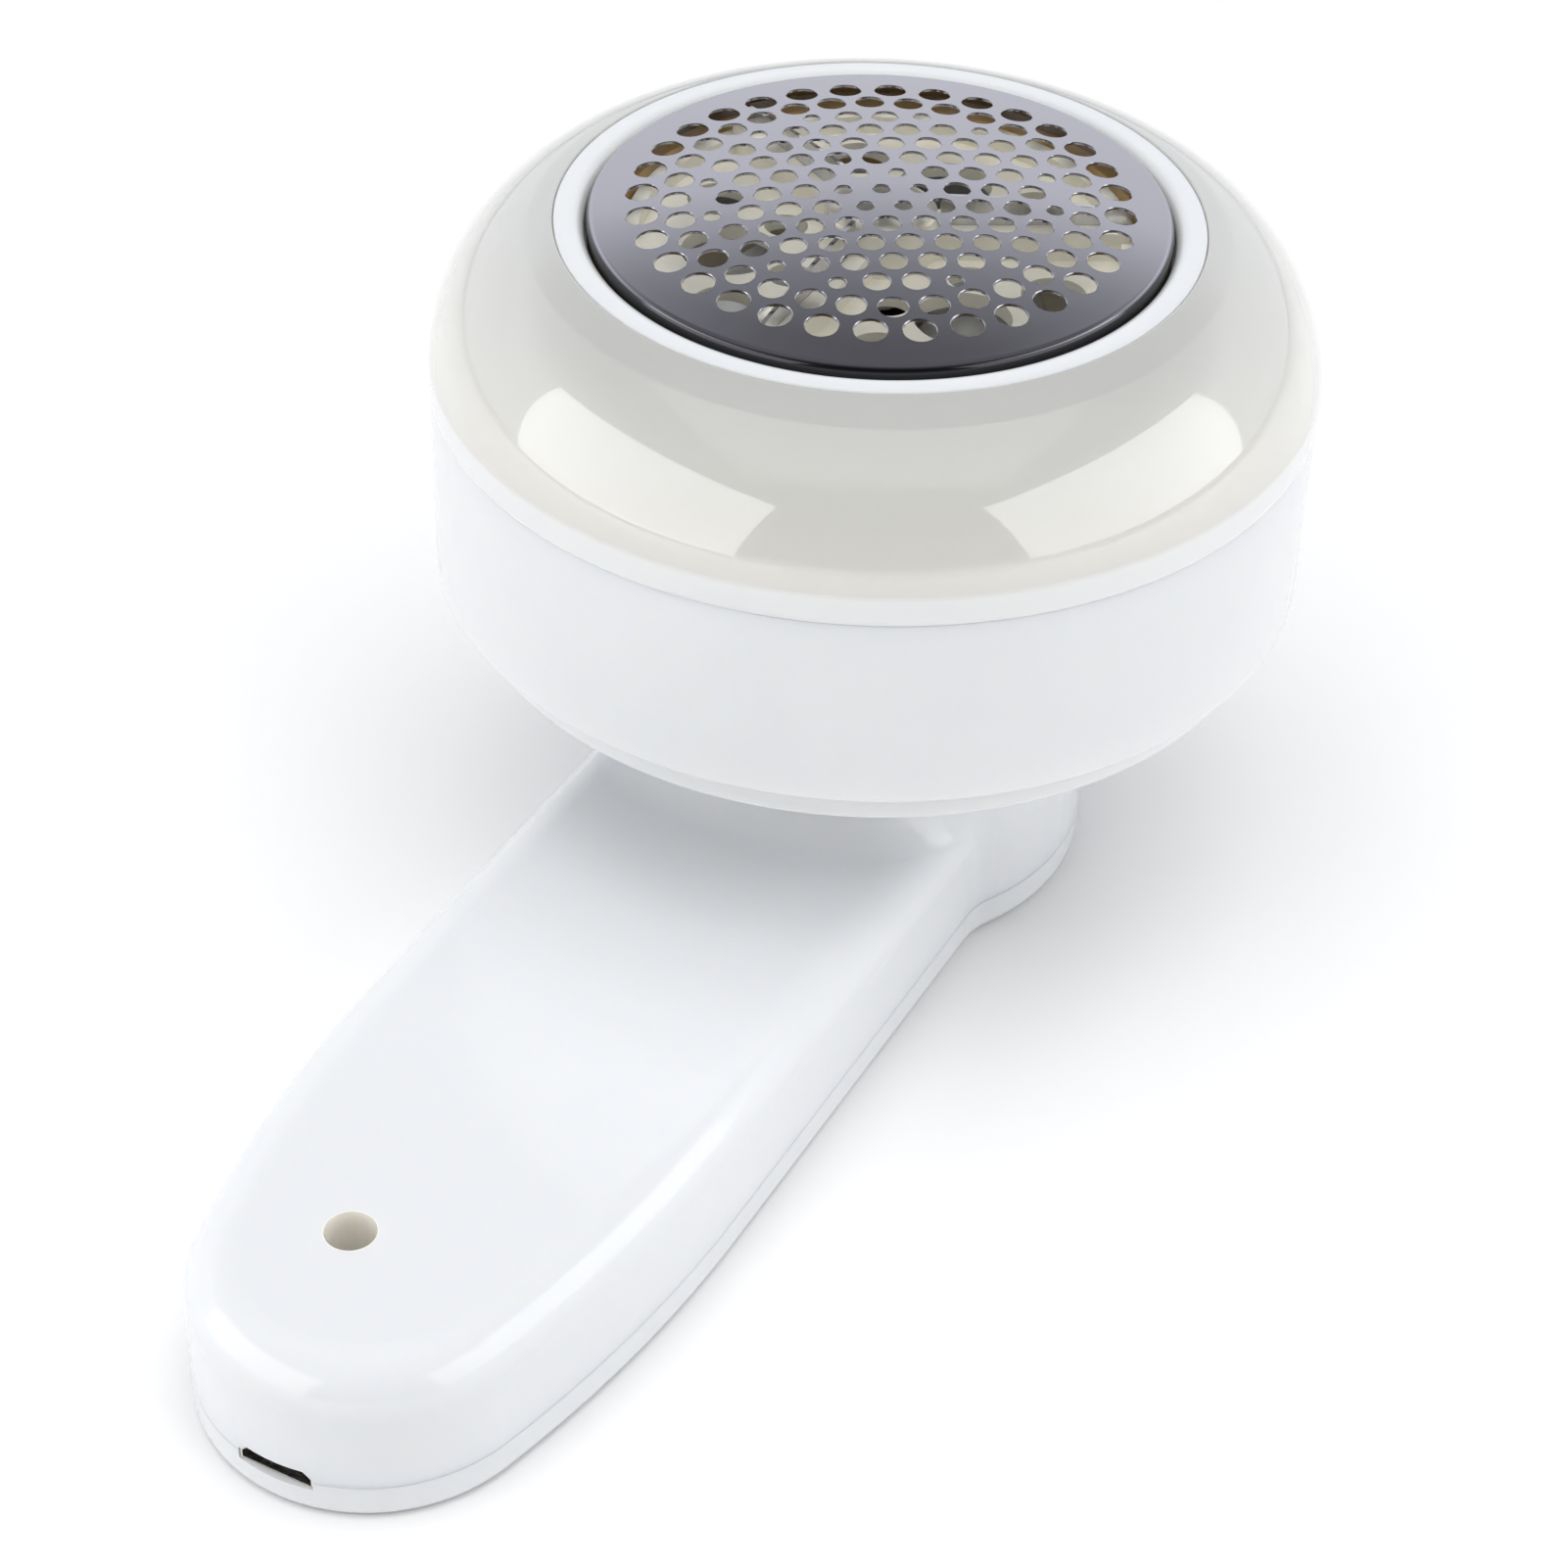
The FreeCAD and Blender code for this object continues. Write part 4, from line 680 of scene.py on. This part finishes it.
def make_world():
    """Studio surroundings: pale low walls, a darker ceiling, and one side darker throughout."""
    side_start, side_full = -0.6, 0.1
    world = bpy.data.worlds.new("studio")
    world.use_nodes = True
    tree = world.node_tree
    place = tree.nodes.new("ShaderNodeTexCoord")
    turned = tree.nodes.new("ShaderNodeMapping")
    turned.inputs["Rotation"].default_value = (0, 0, -math.radians(VIEW_AZIMUTH))
    parts = tree.nodes.new("ShaderNodeSeparateXYZ")
    tree.links.new(place.outputs["Generated"], turned.inputs["Vector"])
    tree.links.new(turned.outputs["Vector"], parts.inputs["Vector"])

    def ramp(axis, *stops):
        """Colour along one axis of the view direction, through (position, colour) stops."""
        item = tree.nodes.new("ShaderNodeValToRGB")
        elements = item.color_ramp.elements
        elements[0].position, elements[1].position = stops[0][0], stops[-1][0]
        elements[0].color, elements[1].color = (*stops[0][1], 1), (*stops[-1][1], 1)
        for position, color in stops[1:-1]:
            elements.new(position).color = (*color, 1)
        tree.links.new(parts.outputs[axis], item.inputs["Fac"])
        return item.outputs["Color"]

    walls = tree.nodes["Background"]
    room = tree.nodes.new("ShaderNodeBackground")
    mix = tree.nodes.new("ShaderNodeMixShader")
    wall_color = ramp("Z", (0.46, (0.86, 0.88, 0.92)), (0.62, (0.40, 0.41, 0.43)), (0.76, (0.16, 0.16, 0.17)))
    room_color = ramp("Z", (0.05, (0.24, 0.25, 0.26)), (0.50, (0.08, 0.08, 0.09)))
    tree.links.new(wall_color, walls.inputs["Color"])
    tree.links.new(room_color, room.inputs["Color"])
    side = tree.nodes.new("ShaderNodeMapRange")
    side.inputs["From Min"].default_value = side_start
    side.inputs["From Max"].default_value = side_full
    tree.links.new(parts.outputs["Y"], side.inputs["Value"])
    tree.links.new(side.outputs["Result"], mix.inputs["Fac"])
    tree.links.new(room.outputs["Background"], mix.inputs[1])
    tree.links.new(walls.outputs["Background"], mix.inputs[2])
    tree.links.new(mix.outputs["Shader"], tree.nodes["World Output"].inputs["Surface"])
    scene.world = world


def make_camera():
    """Camera at the reference viewing angle."""
    roll, elevation, distance = 1.63, 38.62, 0.3685
    aim_right, aim_up = -0.00907, -0.04213
    right, up, back = view_axes(VIEW_AZIMUTH, elevation, roll)
    data = bpy.data.cameras.new("camera")
    data.lens = 83.64
    data.sensor_width = 36.0
    data.clip_start = 0.01
    camera = bpy.data.objects.new("camera", data)
    centre = HEAD_CENTRE + right * aim_right + up * aim_up
    camera.matrix_world = Matrix.Translation(centre + back * distance) @ Matrix(
        (right, up, back)).transposed().to_4x4()
    scene.collection.objects.link(camera)
    scene.camera = camera


make_floor()
make_world()
add_softbox("softbox_left", -62, 18, 0.75, (0.95, 0.56), 2.5)
add_softbox("softbox_right", 67, 20, 0.75, (0.95, 0.56), 2.4)
overhead = add_softbox("overhead", 0, 84, 3.6, (4.2, 4.2), 134.0)
overhead.visible_glossy = False
make_camera()
scene.view_settings.view_transform = "Standard"
